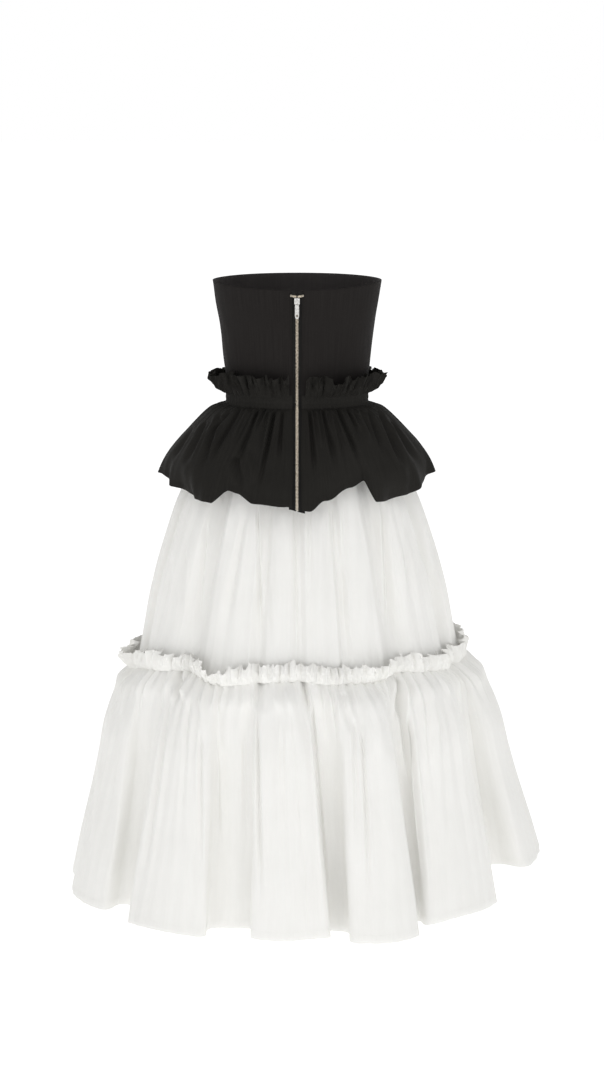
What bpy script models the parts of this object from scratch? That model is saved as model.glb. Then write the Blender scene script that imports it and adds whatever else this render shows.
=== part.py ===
"""A strapless midi dress, worn shape with no wearer: black boned bodice and peplum, white two-tier skirt.

Metres, +Z up. The origin is the middle of the waist, where the wearer holds the dress up. The front
faces -Y and the exposed zip runs down the centre back, at +Y. Angles go round the dress from the
centre back, 0, through the wearer's right side, 90, to the centre front, 180 or -180.
Every piece of cloth is a flat grid, moved to its place on a formula for the worn cloth and given
its thickness there.
"""

import bisect
import math
from collections import namedtuple

import bmesh
import bpy
from mathutils import Matrix, Vector

MM = 0.001
SEAM_GAP = 0.3 * MM

# How thick each cloth is. The bodice is boned and lined, so it is the thickest.
BODICE_CLOTH = 2.0 * MM
PEPLUM_CLOTH = 1.4 * MM
SKIRT_CLOTH = 1.3 * MM
TAPE_CLOTH = 1.0 * MM

# Heights over the waist.
NECKLINE_Z = 0.222
NECKLINE_BACK_DIP = 0.011
NECKLINE_FRONT_RISE = 0.003
BODICE_FOOT_Z = 0.006
BAND_TOP_Z = 0.021
BAND_FOOT_Z = -0.003
SKIRT_TOP_Z = 0.0057
TIER_SEAM_Z = -0.481
HEM_Z = -0.904

# Gathers and ruffle waves. The peplum's and the band's gathers are for a quarter of the waist.
QUARTER_GATHERS = 8
SKIRT_GATHERS = 24
TIER_GATHERS = 40
WAIST_RUFFLE_WAVES = 20
TIER_RUFFLE_WAVES = 32

# The zip: half widths of its opening, its tape and its chain, and the slider's place.
ZIP_OPENING = 8.0 * MM
TAPE_EDGE = 14.0 * MM
CHAIN_EDGE = 3.0 * MM
CHAIN_THICK = 2.4 * MM
SLIDER_Z = 0.192
SLIDER_HALF_LENGTH = 5.5 * MM
SLIDER_HALF_WIDTH = 4.8 * MM
PLATE_THICK = 1.25 * MM
BRIDGE_HALF_WIDTH = 1.0 * MM
PULL_THICK = 1.2 * MM
PULL_AXIS_OUT = 1.3 * MM

# Half a seam's gap as a turn, at the bodice's and at the skirt's size.
BODICE_TURN = SEAM_GAP / 2 / 0.09
SKIRT_TURN = SEAM_GAP / 2 / 0.26
RIGHT_ANGLE = math.pi / 2
PRINCESS = math.radians(146)

# The mean outline of each piece: half its width, and its depth behind and in front of the middle.
Outline = namedtuple("Outline", "height half_width back front")
BODICE_OUTLINE = [
    Outline(-0.010, 0.1280, 0.0905, 0.0920),
    Outline(0.024, 0.1290, 0.0905, 0.0935),
    Outline(0.070, 0.1340, 0.0930, 0.0985),
    Outline(0.126, 0.1400, 0.0970, 0.1060),
    Outline(0.154, 0.1438, 0.0990, 0.1100),
    Outline(0.190, 0.1500, 0.1010, 0.1120),
    Outline(0.230, 0.1560, 0.1030, 0.1110),
]
UPPER_OUTLINE = [
    Outline(-0.481, 0.2920, 0.2680, 0.2600),
    Outline(-0.447, 0.2830, 0.2570, 0.2490),
    Outline(-0.400, 0.2710, 0.2410, 0.2330),
    Outline(-0.343, 0.2570, 0.2240, 0.2160),
    Outline(-0.287, 0.2420, 0.2060, 0.1990),
    Outline(-0.231, 0.2240, 0.1860, 0.1800),
    Outline(-0.175, 0.2060, 0.1650, 0.1600),
    Outline(-0.100, 0.1760, 0.1360, 0.1330),
    Outline(-0.050, 0.1500, 0.1130, 0.1120),
    Outline(-0.015, 0.1297, 0.0917, 0.0932),
    Outline(0.006, 0.1271, 0.0896, 0.0911),
]
LOWER_OUTLINE = [
    Outline(-0.904, 0.3900, 0.3600, 0.3480),
    Outline(-0.830, 0.3780, 0.3480, 0.3370),
    Outline(-0.772, 0.3670, 0.3380, 0.3280),
    Outline(-0.714, 0.3560, 0.3280, 0.3180),
    Outline(-0.657, 0.3470, 0.3190, 0.3100),
    Outline(-0.599, 0.3400, 0.3110, 0.3030),
    Outline(-0.570, 0.3340, 0.3050, 0.2970),
    Outline(-0.541, 0.3260, 0.2980, 0.2900),
    Outline(-0.513, 0.3150, 0.2880, 0.2800),
    Outline(-0.481, 0.2920, 0.2680, 0.2600),
]

# The peplum's mean outline, by the share of its cut length below the band.
Fall = namedtuple("Fall", "share height half_width back front")
PEPLUM_OUTLINE = [
    Fall(0.00, -0.0033, 0.1310, 0.0935, 0.0950),
    Fall(0.12, -0.0130, 0.1525, 0.1040, 0.1075),
    Fall(0.30, -0.0400, 0.1800, 0.1290, 0.1320),
    Fall(0.50, -0.0690, 0.2040, 0.1540, 0.1560),
    Fall(0.70, -0.0980, 0.2240, 0.1750, 0.1760),
    Fall(0.85, -0.1230, 0.2370, 0.1880, 0.1880),
    Fall(1.00, -0.1490, 0.2470, 0.1980, 0.1970),
]

# The peplum's hem: how far it stands out of its mean outline and how far it drops, fold by fold.
Flute = namedtuple("Flute", "angle out_mm drop_mm")
PEPLUM_FLUTES = [
    Flute(-180, 6, 12),
    Flute(-158, -12, -4),
    Flute(-135, 14, 10),
    Flute(-112, -8, -8),
    Flute(-90, 8, -14),
    Flute(-72, 2, 2),
    Flute(-50, 12, 14),
    Flute(-31, -18, -8),
    Flute(-18, 4, 11),
    Flute(-5, 6, 15),
    Flute(5, 8, 23),
    Flute(12, -6, 4),
    Flute(28, -22, -22),
    Flute(37, 9, 16),
    Flute(54, 12, 12),
    Flute(72, 0, -4),
    Flute(90, 8, -18),
    Flute(111, -8, -6),
    Flute(133, 14, 10),
    Flute(157, -10, -4),
    Flute(180, 6, 12),
]

# Folds of the two tiers: each has a broad face from one angle to another, and a recess after it.
# The hem under a face is lifted by some of it.
Fold = namedtuple("Fold", "start end face_mm recess_mm lift_mm")
UPPER_FOLDS = [
    Fold(-178, -166, 8, -6, 0),
    Fold(-152, -136, 7, -8, 0),
    Fold(-124, -110, 9, -5, 0),
    Fold(-100, -82, 14, -6, 0),
    Fold(-74, -50, 8, -13, 0),
    Fold(-34, -18, 7, -6, 0),
    Fold(-11, -3, 5, -6, 0),
    Fold(4, 15, 7, -4, 0),
    Fold(21, 31, 8, -13, 0),
    Fold(47, 66, 9, -8, 0),
    Fold(78, 100, 16, -6, 0),
    Fold(110, 126, 8, -7, 0),
    Fold(137, 151, 8, -5, 0),
    Fold(160, 173, 7, -6, 0),
]
LOWER_FOLDS = [
    Fold(-175, -160, 32, -28, 4),
    Fold(-148, -134, 40, -30, 8),
    Fold(-122, -108, 34, -26, 2),
    Fold(-95, -83, 32, -14, 8),
    Fold(-75, -57, 45, -18, 0),
    Fold(-43, -25, 48, -16, -2),
    Fold(-9, 6, 36, -38, 0),
    Fold(15, 28, 58, -32, -6),
    Fold(36, 59, 34, -26, 4),
    Fold(74, 100, 60, -28, 52),
    Fold(108, 120, 38, -28, 10),
    Fold(128, 142, 34, -30, 0),
    Fold(155, 172, 42, -24, 6),
]
FOLD_FLANK = 6.5
FACE_CROWN_MM = 6.0


# The upper tier's rows of facets and how many columns they have, all round.
UPPER_HEIGHTS = (SKIRT_TOP_Z, -0.010, -0.060, -0.160, -0.260, -0.370, TIER_SEAM_Z)
UPPER_COLUMNS = 96

# The lower tier's widths of cloth, from one seam to the next, as shares from the centre front.
Width = namedtuple("Width", "name start end")
LOWER_PANELS = [
    Width("lower_tier_back_left", 0.25, 0.476),
    Width("lower_tier_back_right", 0.476, 0.75),
    Width("lower_tier_front_right", 0.75, 1.02),
    Width("lower_tier_front_left", 0.02, 0.25),
]

# The peplum's rows, as shares of its length.
PEPLUM_SHARES = (0.0, 0.10, 0.28, 0.52, 0.76, 1.0)

# The zip's rows: heights inside the bodice, then shares of the peplum's length.
ZIP_HEIGHTS = (SLIDER_Z + SLIDER_HALF_LENGTH - 2.8 * MM, 0.165, 0.130, 0.095, 0.060, 0.030, 0.006)
ZIP_SHARES = (*PEPLUM_SHARES[1:-1], 1.02)

# Each end of the chain over the slider turns out over the bodice's edge: across, out and up, in mm.
ZIP_END_PATH = ((1.5, -2.8, 7.0), (4.5, -2.2, 7.8), (7.4, 1.7, 8.8), (12.0, 1.8, 10.0))

# Curves and tables.


def smooth_step(x):
    x = min(1.0, max(0.0, x))
    return x * x * (3 - 2 * x)


def mix(a, b, share):
    return a + (b - a) * share


def among(values, share):
    """A value at a share of the way along some named values, straight between them."""
    place = share * (len(values) - 1)
    i = min(len(values) - 2, max(0, math.floor(place + 1e-9)))
    return mix(values[i], values[i + 1], place - i)


def row_at(table, x):
    """The values of a table at x, on a smooth curve through its rows."""
    keys = [row[0] for row in table]
    i = min(len(table) - 2, max(0, bisect.bisect_right(keys, x) - 1))
    span = keys[i + 1] - keys[i]
    s = (x - keys[i]) / span
    values = []
    for column in range(1, len(table[0])):
        here, there = table[i][column], table[i + 1][column]
        slopes = []
        for k in (i, i + 1):
            low, high = max(0, k - 1), min(len(table) - 1, k + 1)
            slopes.append((table[high][column] - table[low][column]) / (keys[high] - keys[low]) * span)
        values.append(
            here * (1 + 2 * s) * (1 - s) ** 2
            + there * s * s * (3 - 2 * s)
            + slopes[0] * s * (1 - s) ** 2
            - slopes[1] * s * s * (1 - s)
        )
    return values


def section_point(angle, half_width, back, front, out, height):
    """A point at an angle round an oval section, moved out across its edge."""
    depth = back if math.cos(angle) > 0 else front
    x, y = -half_width * math.sin(angle), depth * math.cos(angle)
    across = Vector((x / half_width**2, y / depth**2, 0)).normalized()
    return Vector((x, y, height)) + across * out


def uneven_waves(angle, count, shift):
    """Gathers from -1 to 1: count waves all round, not quite even in spacing and depth."""
    bend = 0.9 * math.sin(3 * angle + shift) + 0.5 * math.sin(7 * angle + 2 * shift)
    return math.sin(count * angle + bend) * (0.8 + 0.2 * math.sin(5 * angle + shift))


def uneven_share(across, count):
    """A share of a panel's width moved a little, so that its gathers lie closer and farther apart."""
    swings = round(0.375 * count)
    return across + 0.3 / count * math.sin(2 * math.pi * swings * across)


def panel_gathers(across, count):
    """Gathers from 0 at a panel's edges to 1: count of them over its width."""
    deeper = 0.8 + 0.2 * math.sin(2 * math.pi * across * count / 3)
    return (0.5 - 0.5 * math.cos(2 * math.pi * count * across)) * deeper


def flute_at(angle):
    """The peplum's reach and drop at its hem, eased from one flute to the next."""
    degrees = math.degrees(math.remainder(angle, 2 * math.pi))
    i = bisect.bisect_right([flute.angle for flute in PEPLUM_FLUTES], degrees) - 1
    i = min(len(PEPLUM_FLUTES) - 2, max(0, i))
    here, there = PEPLUM_FLUTES[i], PEPLUM_FLUTES[i + 1]
    share = smooth_step((degrees - here.angle) / (there.angle - here.angle))
    return mix(here.out_mm, there.out_mm, share) * MM, mix(here.drop_mm, there.drop_mm, share) * MM


def fold_at(folds, angle):
    """How far cloth with a table of folds lies out of its mean outline, and how far its hem lifts."""
    degrees = (math.degrees(angle) - folds[0].start) % 360 + folds[0].start
    i = max(k for k, fold in enumerate(folds) if fold.start <= degrees + 1e-9)
    fold, after = folds[i], folds[(i + 1) % len(folds)]
    next_start = after.start + (360 if i == len(folds) - 1 else 0)
    gap, past = next_start - fold.end, degrees - fold.end
    if past <= 0:
        side = (2 * degrees - fold.start - fold.end) / (fold.end - fold.start)
        crown = FACE_CROWN_MM * (1 - side * side) * fold.face_mm / 40
        return (fold.face_mm + crown) * MM, fold.lift_mm * MM
    flank = min(FOLD_FLANK, gap / 2)
    near, left = (fold, past) if past < gap / 2 else (after, gap - past)
    out = mix(near.face_mm, fold.recess_mm, smooth_step(left / flank))
    return out * MM, mix(fold.lift_mm, after.lift_mm, smooth_step(past / gap)) * MM


def angles_by_length(outline, samples=720):
    """Angles that part a closed outline into stretches of one length: where evenly cut cloth lies."""
    angles = [math.radians(-180 + 360 * k / samples) for k in range(samples + 1)]
    points = [outline(angle) for angle in angles]
    lengths = [0.0]
    for before, after in zip(points, points[1:]):
        lengths.append(lengths[-1] + (after - before).length)

    def angle_at(share):
        length = share * lengths[-1]
        i = min(samples - 1, max(0, bisect.bisect_right(lengths, length) - 1))
        return mix(angles[i], angles[i + 1], (length - lengths[i]) / (lengths[i + 1] - lengths[i]))

    return angle_at


# The worn cloth: each function gives a point of one piece's outer side.


def bust_out(angle, height):
    """How far the two cups stand out of the bodice's oval section."""
    turn = abs(math.remainder(angle, 2 * math.pi))
    lift = math.exp(-(((height - 0.150) / 0.055) ** 2))
    return 0.013 * lift * math.exp(-(((turn - PRINCESS) / 0.42) ** 2))


def bodice_surface(angle, height, out=0.0):
    half_width, back, front = row_at(BODICE_OUTLINE, height)
    return section_point(angle, half_width, back, front, bust_out(angle, height) + out, height)


def neckline_height(angle):
    back_dip = NECKLINE_BACK_DIP * max(0.0, math.cos(angle)) ** 1.5
    return NECKLINE_Z - back_dip + NECKLINE_FRONT_RISE * max(0.0, -math.cos(angle)) ** 1.5


def peplum_surface(angle, share, gather=0.0):
    height, half_width, back, front = row_at(PEPLUM_OUTLINE, share)
    out, drop = flute_at(angle)
    gathers = 4.0 * MM * gather * smooth_step(share / 0.1 + 0.3) * max(0.0, 1 - share) ** 1.3
    grown = share**1.3
    return section_point(angle, half_width, back, front, out * grown + gathers, height - drop * grown)


def band_surface(angle, height, gather):
    middle = (height - BAND_FOOT_Z) / (BAND_TOP_Z - BAND_FOOT_Z)
    puff = 1.4 * MM * gather * (0.4 + 2.4 * middle * (1 - middle))
    return bodice_surface(angle, height, SEAM_GAP + PEPLUM_CLOTH + puff)


def waist_ruffle_surface(angle, share):
    """The heading that stands out over the band, in waves that fold on themselves at its edge."""
    phase = WAIST_RUFFLE_WAVES * angle + 0.8 * math.sin(4 * angle + 1)
    near_zip = smooth_step((abs(math.remainder(angle, 2 * math.pi)) - 0.12) / 0.25)
    size = (0.8 + 0.2 * math.sin(5 * angle + 2)) * mix(0.5, 1.0, near_zip)
    out = SEAM_GAP + PEPLUM_CLOTH + (22 + 8 * math.sin(phase)) * MM * size * share
    up = (17 - 5 * share + 11 * math.cos(phase + 0.8)) * MM * size * share
    turned = angle - 5.0 * MM * size * share * math.sin(2 * phase) / 0.13
    return bodice_surface(turned, BAND_TOP_Z + SEAM_GAP + up, out)


def seam_tilt(angle):
    """The tier seam hangs a little lower at the back and on the wearer's left."""
    return 0.007 * math.sin(angle) - 0.006 * math.cos(angle)


def slit_half_width(height):
    """The opening under the zip in the upper tier's centre back seam."""
    return SEAM_GAP / 2 + 15 * MM * smooth_step((height + 0.16) / 0.15)


def upper_surface(angle, height, out=0.0):
    half_width, back, front = row_at(UPPER_OUTLINE, height)
    share = (SKIRT_TOP_Z - height) / (SKIRT_TOP_Z - TIER_SEAM_Z)
    near_waist = math.exp(-(((SKIRT_TOP_Z - height) / 0.07) ** 2))
    gathers = 1.4 * MM * (uneven_waves(angle, SKIRT_GATHERS, 2.2) - 1) * near_waist
    grown = smooth_step(share / 0.5) * mix(1.0, 0.6, smooth_step((share - 0.7) / 0.3))
    fold = fold_at(UPPER_FOLDS, angle)[0] * grown
    tilted = height + seam_tilt(angle) * share**2
    return section_point(angle, half_width, back, front, fold + gathers + out, tilted)


def upper_ground(angle, height, out):
    """The upper tier as its lowest rows of flat facets have it, moved out: what the ruffle lies on."""
    step = 2 * math.pi / UPPER_COLUMNS
    i, high, low = math.floor(angle / step), UPPER_HEIGHTS[-2], UPPER_HEIGHTS[-1]
    right, down = angle / step - i, (high - height) / (high - low)
    top = upper_surface(i * step, high, out).lerp(upper_surface((i + 1) * step, high, out), right)
    foot = upper_surface(i * step, low, out).lerp(upper_surface((i + 1) * step, low, out), right)
    return top.lerp(foot, down)


def tier_ruffle_surface(angle, share):
    """The heading over the tier seam, its edge waving; a wave's crest lies at each side seam."""
    phase = TIER_RUFFLE_WAVES * angle + 0.9 * math.cos(3 * angle) + RIGHT_ANGLE
    size = 0.8 + 0.2 * math.sin(4 * angle + 1)
    out = SEAM_GAP + 1.25 * SKIRT_CLOTH + (16 + 9 * math.sin(phase)) * MM * size * share
    up = (36 - 7 * share + 6 * math.cos(phase + 0.7)) * MM * size * share
    turned = angle - 7.0 * MM * size * share * math.sin(2 * phase) / 0.29
    return upper_ground(turned, TIER_SEAM_Z + 0.5 * MM + up, out)


def hem_outline(angle):
    return section_point(angle, *LOWER_OUTLINE[0][1:], fold_at(LOWER_FOLDS, angle)[0], HEM_Z)


HEM_ANGLE = angles_by_length(hem_outline)


def lower_surface(around, share):
    """around is the share of the cut width, from the centre front, and share the way down it."""
    seam_angle = math.radians(-180 + 360 * around)
    hem_angle = HEM_ANGLE(around % 1) + 2 * math.pi * math.floor(around)
    grown = share**0.45
    angle = mix(seam_angle, hem_angle, grown)
    height = mix(TIER_SEAM_Z - SEAM_GAP, HEM_Z, share)
    half_width, back, front = row_at(LOWER_OUTLINE, height)
    at_seam = fold_at(UPPER_FOLDS, seam_angle)[0] * 0.6
    at_hem, lift = fold_at(LOWER_FOLDS, hem_angle)
    gathers = uneven_waves(seam_angle, TIER_GATHERS, 1.1) * (1.2 + 14 * share) * MM * (1 - share) ** 4
    tilt = seam_tilt(seam_angle) * (1 - share) + lift * share**2
    out = mix(at_seam, at_hem, grown) + gathers
    return section_point(angle, half_width, back, front, out, height + tilt)


# Making solids.


def make_material(name, colour, roughness, metallic=0.0):
    material = bpy.data.materials.new(name)
    material.use_nodes = True
    shader = material.node_tree.nodes["Principled BSDF"]
    shader.inputs["Base Color"].default_value = (*colour, 1.0)
    shader.inputs["Roughness"].default_value = roughness
    shader.inputs["Metallic"].default_value = metallic
    return material


def make_collection(name):
    collection = bpy.data.collections.new(name)
    bpy.context.scene.collection.children.link(collection)
    return collection


def add_object(name, mesh, material, collection, sharp_degrees=50):
    mesh.materials.clear()
    mesh.materials.append(material)
    mesh.polygons.foreach_set("use_smooth", [True] * len(mesh.polygons))
    mesh.set_sharp_from_angle(angle=math.radians(sharp_degrees))
    made = bpy.data.objects.new(name, mesh)
    collection.objects.link(made)
    return made


def wall(name, place, columns, rows, thickness, material, collection):
    """A slab of flat grid whose corners move to place(across, down, depth).

    across and down go from 0 to 1; depth is 0 on the outer side and the thickness on the inner one.
    """
    slab = bmesh.new()
    bmesh.ops.create_grid(slab, x_segments=columns, y_segments=rows, size=0.5)
    under = bmesh.ops.extrude_face_region(slab, geom=slab.faces[:], use_keep_orig=True)["geom"]
    for corner in under:
        if isinstance(corner, bmesh.types.BMVert):
            corner.co.z = -1.0
    for corner in slab.verts:
        depth = thickness if corner.co.z < -0.5 else 0.0
        corner.co = place(corner.co.x + 0.5, 0.5 - corner.co.y, depth)
    bmesh.ops.recalc_face_normals(slab, faces=slab.faces)
    if slab.calc_volume(signed=True) < 0:
        bmesh.ops.reverse_faces(slab, faces=slab.faces)
    mesh = bpy.data.meshes.new(name)
    slab.to_mesh(mesh)
    slab.free()
    return add_object(name, mesh, material, collection)


def across_cloth(surface, level=False):
    """Turns a surface into a place function: its inner side lies behind it, straight in if level."""
    step = 1e-3

    def place(across, down, depth):
        point = surface(across, down)
        if not depth:
            return point
        along = surface(across + step, down) - surface(across - step, down)
        fall = surface(across, min(1, down + step)) - surface(across, max(0, down - step))
        inward = along.cross(fall)
        if level:
            inward.z = 0
        return point + inward.normalized() * depth

    return place


# The dress, piece by piece.


def bodice_rows(angle, down):
    """Bodice heights, closer together at the waist."""
    return mix(neckline_height(angle), BODICE_FOOT_Z, 1 - (1 - down) ** 1.5)


def build_bodice(black, dress):
    zip_turn = ZIP_OPENING / 0.133
    panels = [
        ("bodice_back_left", -RIGHT_ANGLE + BODICE_TURN, -zip_turn, 14),
        ("bodice_back_right", zip_turn, RIGHT_ANGLE - BODICE_TURN, 14),
        ("bodice_front_right", RIGHT_ANGLE + BODICE_TURN, PRINCESS - BODICE_TURN, 9),
        ("bodice_front_centre", PRINCESS + BODICE_TURN, 2 * math.pi - PRINCESS - BODICE_TURN, 11),
        ("bodice_front_left", -PRINCESS + BODICE_TURN, -RIGHT_ANGLE - BODICE_TURN, 9),
    ]
    for name, start, end, columns in panels:

        def surface(across, down):
            angle = mix(start, end, across)
            return bodice_surface(angle, bodice_rows(angle, down))

        wall(name, across_cloth(surface, level=True), columns, 6, BODICE_CLOTH, black, dress)


def build_waist(black, dress):
    """The gathered band and the ruffle that stands out over it, both open at the zip."""
    count = 4 * QUARTER_GATHERS
    band_start = ZIP_OPENING / 0.128

    def band(across, down):
        angle = mix(band_start, 2 * math.pi - band_start, uneven_share(across, count))
        return band_surface(angle, mix(BAND_TOP_Z, BAND_FOOT_Z, down), panel_gathers(across, count))

    def ruffle(across, down):
        return waist_ruffle_surface(mix(0.12, 2 * math.pi - 0.12, across), 1 - down)

    wall("waist_band", across_cloth(band, level=True), 2 * count, 2, PEPLUM_CLOTH, black, dress)
    columns = 7 * WAIST_RUFFLE_WAVES
    wall("waist_ruffle", across_cloth(ruffle), columns, 2, PEPLUM_CLOTH, black, dress)


def build_peplum(black, dress):
    back_edge = ZIP_OPENING / 0.130
    hem_edge = ZIP_OPENING / 0.245
    panels = [
        ("peplum_back_left", -RIGHT_ANGLE + BODICE_TURN, None, 1),
        ("peplum_back_right", None, RIGHT_ANGLE - BODICE_TURN, 1),
        ("peplum_front", RIGHT_ANGLE + BODICE_TURN, 3 * RIGHT_ANGLE - BODICE_TURN, 2),
    ]
    for name, start, end, quarters in panels:
        count = QUARTER_GATHERS * quarters

        def surface(across, down):
            at_zip = mix(back_edge, hem_edge, smooth_step(down / 0.6))
            first = at_zip if start is None else start
            last = -at_zip if end is None else end
            angle = mix(first, last, uneven_share(across, count))
            return peplum_surface(angle, among(PEPLUM_SHARES, down), panel_gathers(across, count))

        rows = len(PEPLUM_SHARES) - 1
        wall(name, across_cloth(surface), 4 * count, rows, PEPLUM_CLOTH, black, dress)


def build_upper_tier(white, dress):
    quarter = UPPER_COLUMNS // 4
    panels = [
        ("upper_tier_back_left", -RIGHT_ANGLE + SKIRT_TURN, None, quarter),
        ("upper_tier_back_right", None, RIGHT_ANGLE - SKIRT_TURN, quarter),
        ("upper_tier_front", RIGHT_ANGLE + SKIRT_TURN, 3 * RIGHT_ANGLE - SKIRT_TURN, 2 * quarter),
    ]
    for name, start, end, columns in panels:

        def surface(across, down):
            height = among(UPPER_HEIGHTS, down)
            slit = slit_half_width(height) / row_at(UPPER_OUTLINE, height)[0]
            first = slit if start is None else start
            last = -slit if end is None else end
            return upper_surface(mix(first, last, across), height)

        rows = len(UPPER_HEIGHTS) - 1
        wall(name, across_cloth(surface, level=True), columns, rows, SKIRT_CLOTH, white, dress)


def build_lower_tier(white, dress):
    """Four widths of cloth, each seam on the face of a fold."""
    turn = SKIRT_TURN / (2 * math.pi)
    for name, start, end in LOWER_PANELS:

        def surface(across, down):
            return lower_surface(mix(start + turn, end - turn, across), down**1.4)

        wall(name, across_cloth(surface, level=True), 44, 5, SKIRT_CLOTH, white, dress)


def build_tier_ruffle(white, dress):
    for name, start in (("tier_ruffle_back", -RIGHT_ANGLE), ("tier_ruffle_front", RIGHT_ANGLE)):

        def ruffle(across, down):
            angle = start + mix(SKIRT_TURN, math.pi - SKIRT_TURN, across)
            return tier_ruffle_surface(angle, 1 - down)

        wall(name, across_cloth(ruffle), UPPER_COLUMNS, 2, SKIRT_CLOTH, white, dress)


# The zip. It lies inside the bodice, comes out over the skirt at the waist and stays inside the
# peplum down to its hem.


def zip_place(x, down, depth):
    """A point across the zip tape's outer side, by its distance x towards the wearer's right."""
    place = down * (len(ZIP_HEIGHTS) + len(ZIP_SHARES))
    row = round(place)
    if row < len(ZIP_HEIGHTS):
        height = ZIP_HEIGHTS[row]
        return bodice_surface(x / 0.133, height, -(BODICE_CLOTH + SEAM_GAP + depth))
    if row == len(ZIP_HEIGHTS):
        return bodice_surface(x / 0.128, BAND_FOOT_Z - 0.5 * MM, -(1.5 * MM + depth))
    share = ZIP_SHARES[row - len(ZIP_HEIGHTS) - 1]
    radius = mix(0.130, 0.245, smooth_step(share / 0.5))

    def ground(across, fallen):
        return peplum_surface(across / radius, fallen)

    point, step = ground(x, share), 1e-4
    along = ground(x + step, share) - ground(x - step, share)
    fall = ground(x, share + step) - ground(x, share - step)
    return point + along.cross(fall).normalized() * (PEPLUM_CLOTH + SEAM_GAP + depth)


def slider_frame():
    """The slider's own axes: across, out of the bodice and up along it, from the bodice's outer side."""
    up = bodice_surface(0, SLIDER_Z + 0.002) - bodice_surface(0, SLIDER_Z - 0.002)
    up.normalize()
    across = Vector((1, 0, 0))
    frame = Matrix((across, up.cross(across), up)).transposed().to_4x4()
    frame.translation = bodice_surface(0, SLIDER_Z)
    return frame


def flat_piece(name, outlines, thickness, bevel, material, collection):
    """A flat piece with its outlines in its own x and y and its thickness along z."""
    curve = bpy.data.curves.new(name, "CURVE")
    curve.dimensions = "2D"
    curve.fill_mode = "BOTH"
    curve.extrude = thickness / 2
    for outline in outlines:
        spline = curve.splines.new("POLY")
        spline.points.add(len(outline) - 1)
        for point, (x, y) in zip(spline.points, outline):
            point.co = (x, y, 0, 1)
        spline.use_cyclic_u = True
    helper = bpy.data.objects.new(name + "_outline", curve)
    bpy.context.scene.collection.objects.link(helper)
    weld = helper.modifiers.new("Weld", "WELD")
    weld.merge_threshold = 1e-6
    if bevel:
        edges = helper.modifiers.new("Bevel", "BEVEL")
        edges.width = bevel
        edges.segments = 1
        edges.limit_method = "ANGLE"
        edges.angle_limit = math.radians(50)
    bpy.context.view_layer.update()
    evaluated = helper.evaluated_get(bpy.context.evaluated_depsgraph_get())
    mesh = bpy.data.meshes.new_from_object(evaluated)
    mesh.name = name
    bpy.data.objects.remove(helper)
    return add_object(name, mesh, material, collection, sharp_degrees=35)


def rounded(corners, radius, steps=3):
    """A closed outline with its corners, given in millimetres, cut round."""
    points = []
    for i, corner in enumerate(corners):
        here = Vector(corner)
        before = (Vector(corners[i - 1]) - here).normalized()
        after = (Vector(corners[(i + 1) % len(corners)]) - here).normalized()
        for k in range(steps + 1):
            share = k / steps
            point = here + before * radius * (1 - share) ** 2 + after * radius * share**2
            points.append((point.x * MM, point.y * MM))
    return points


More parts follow.
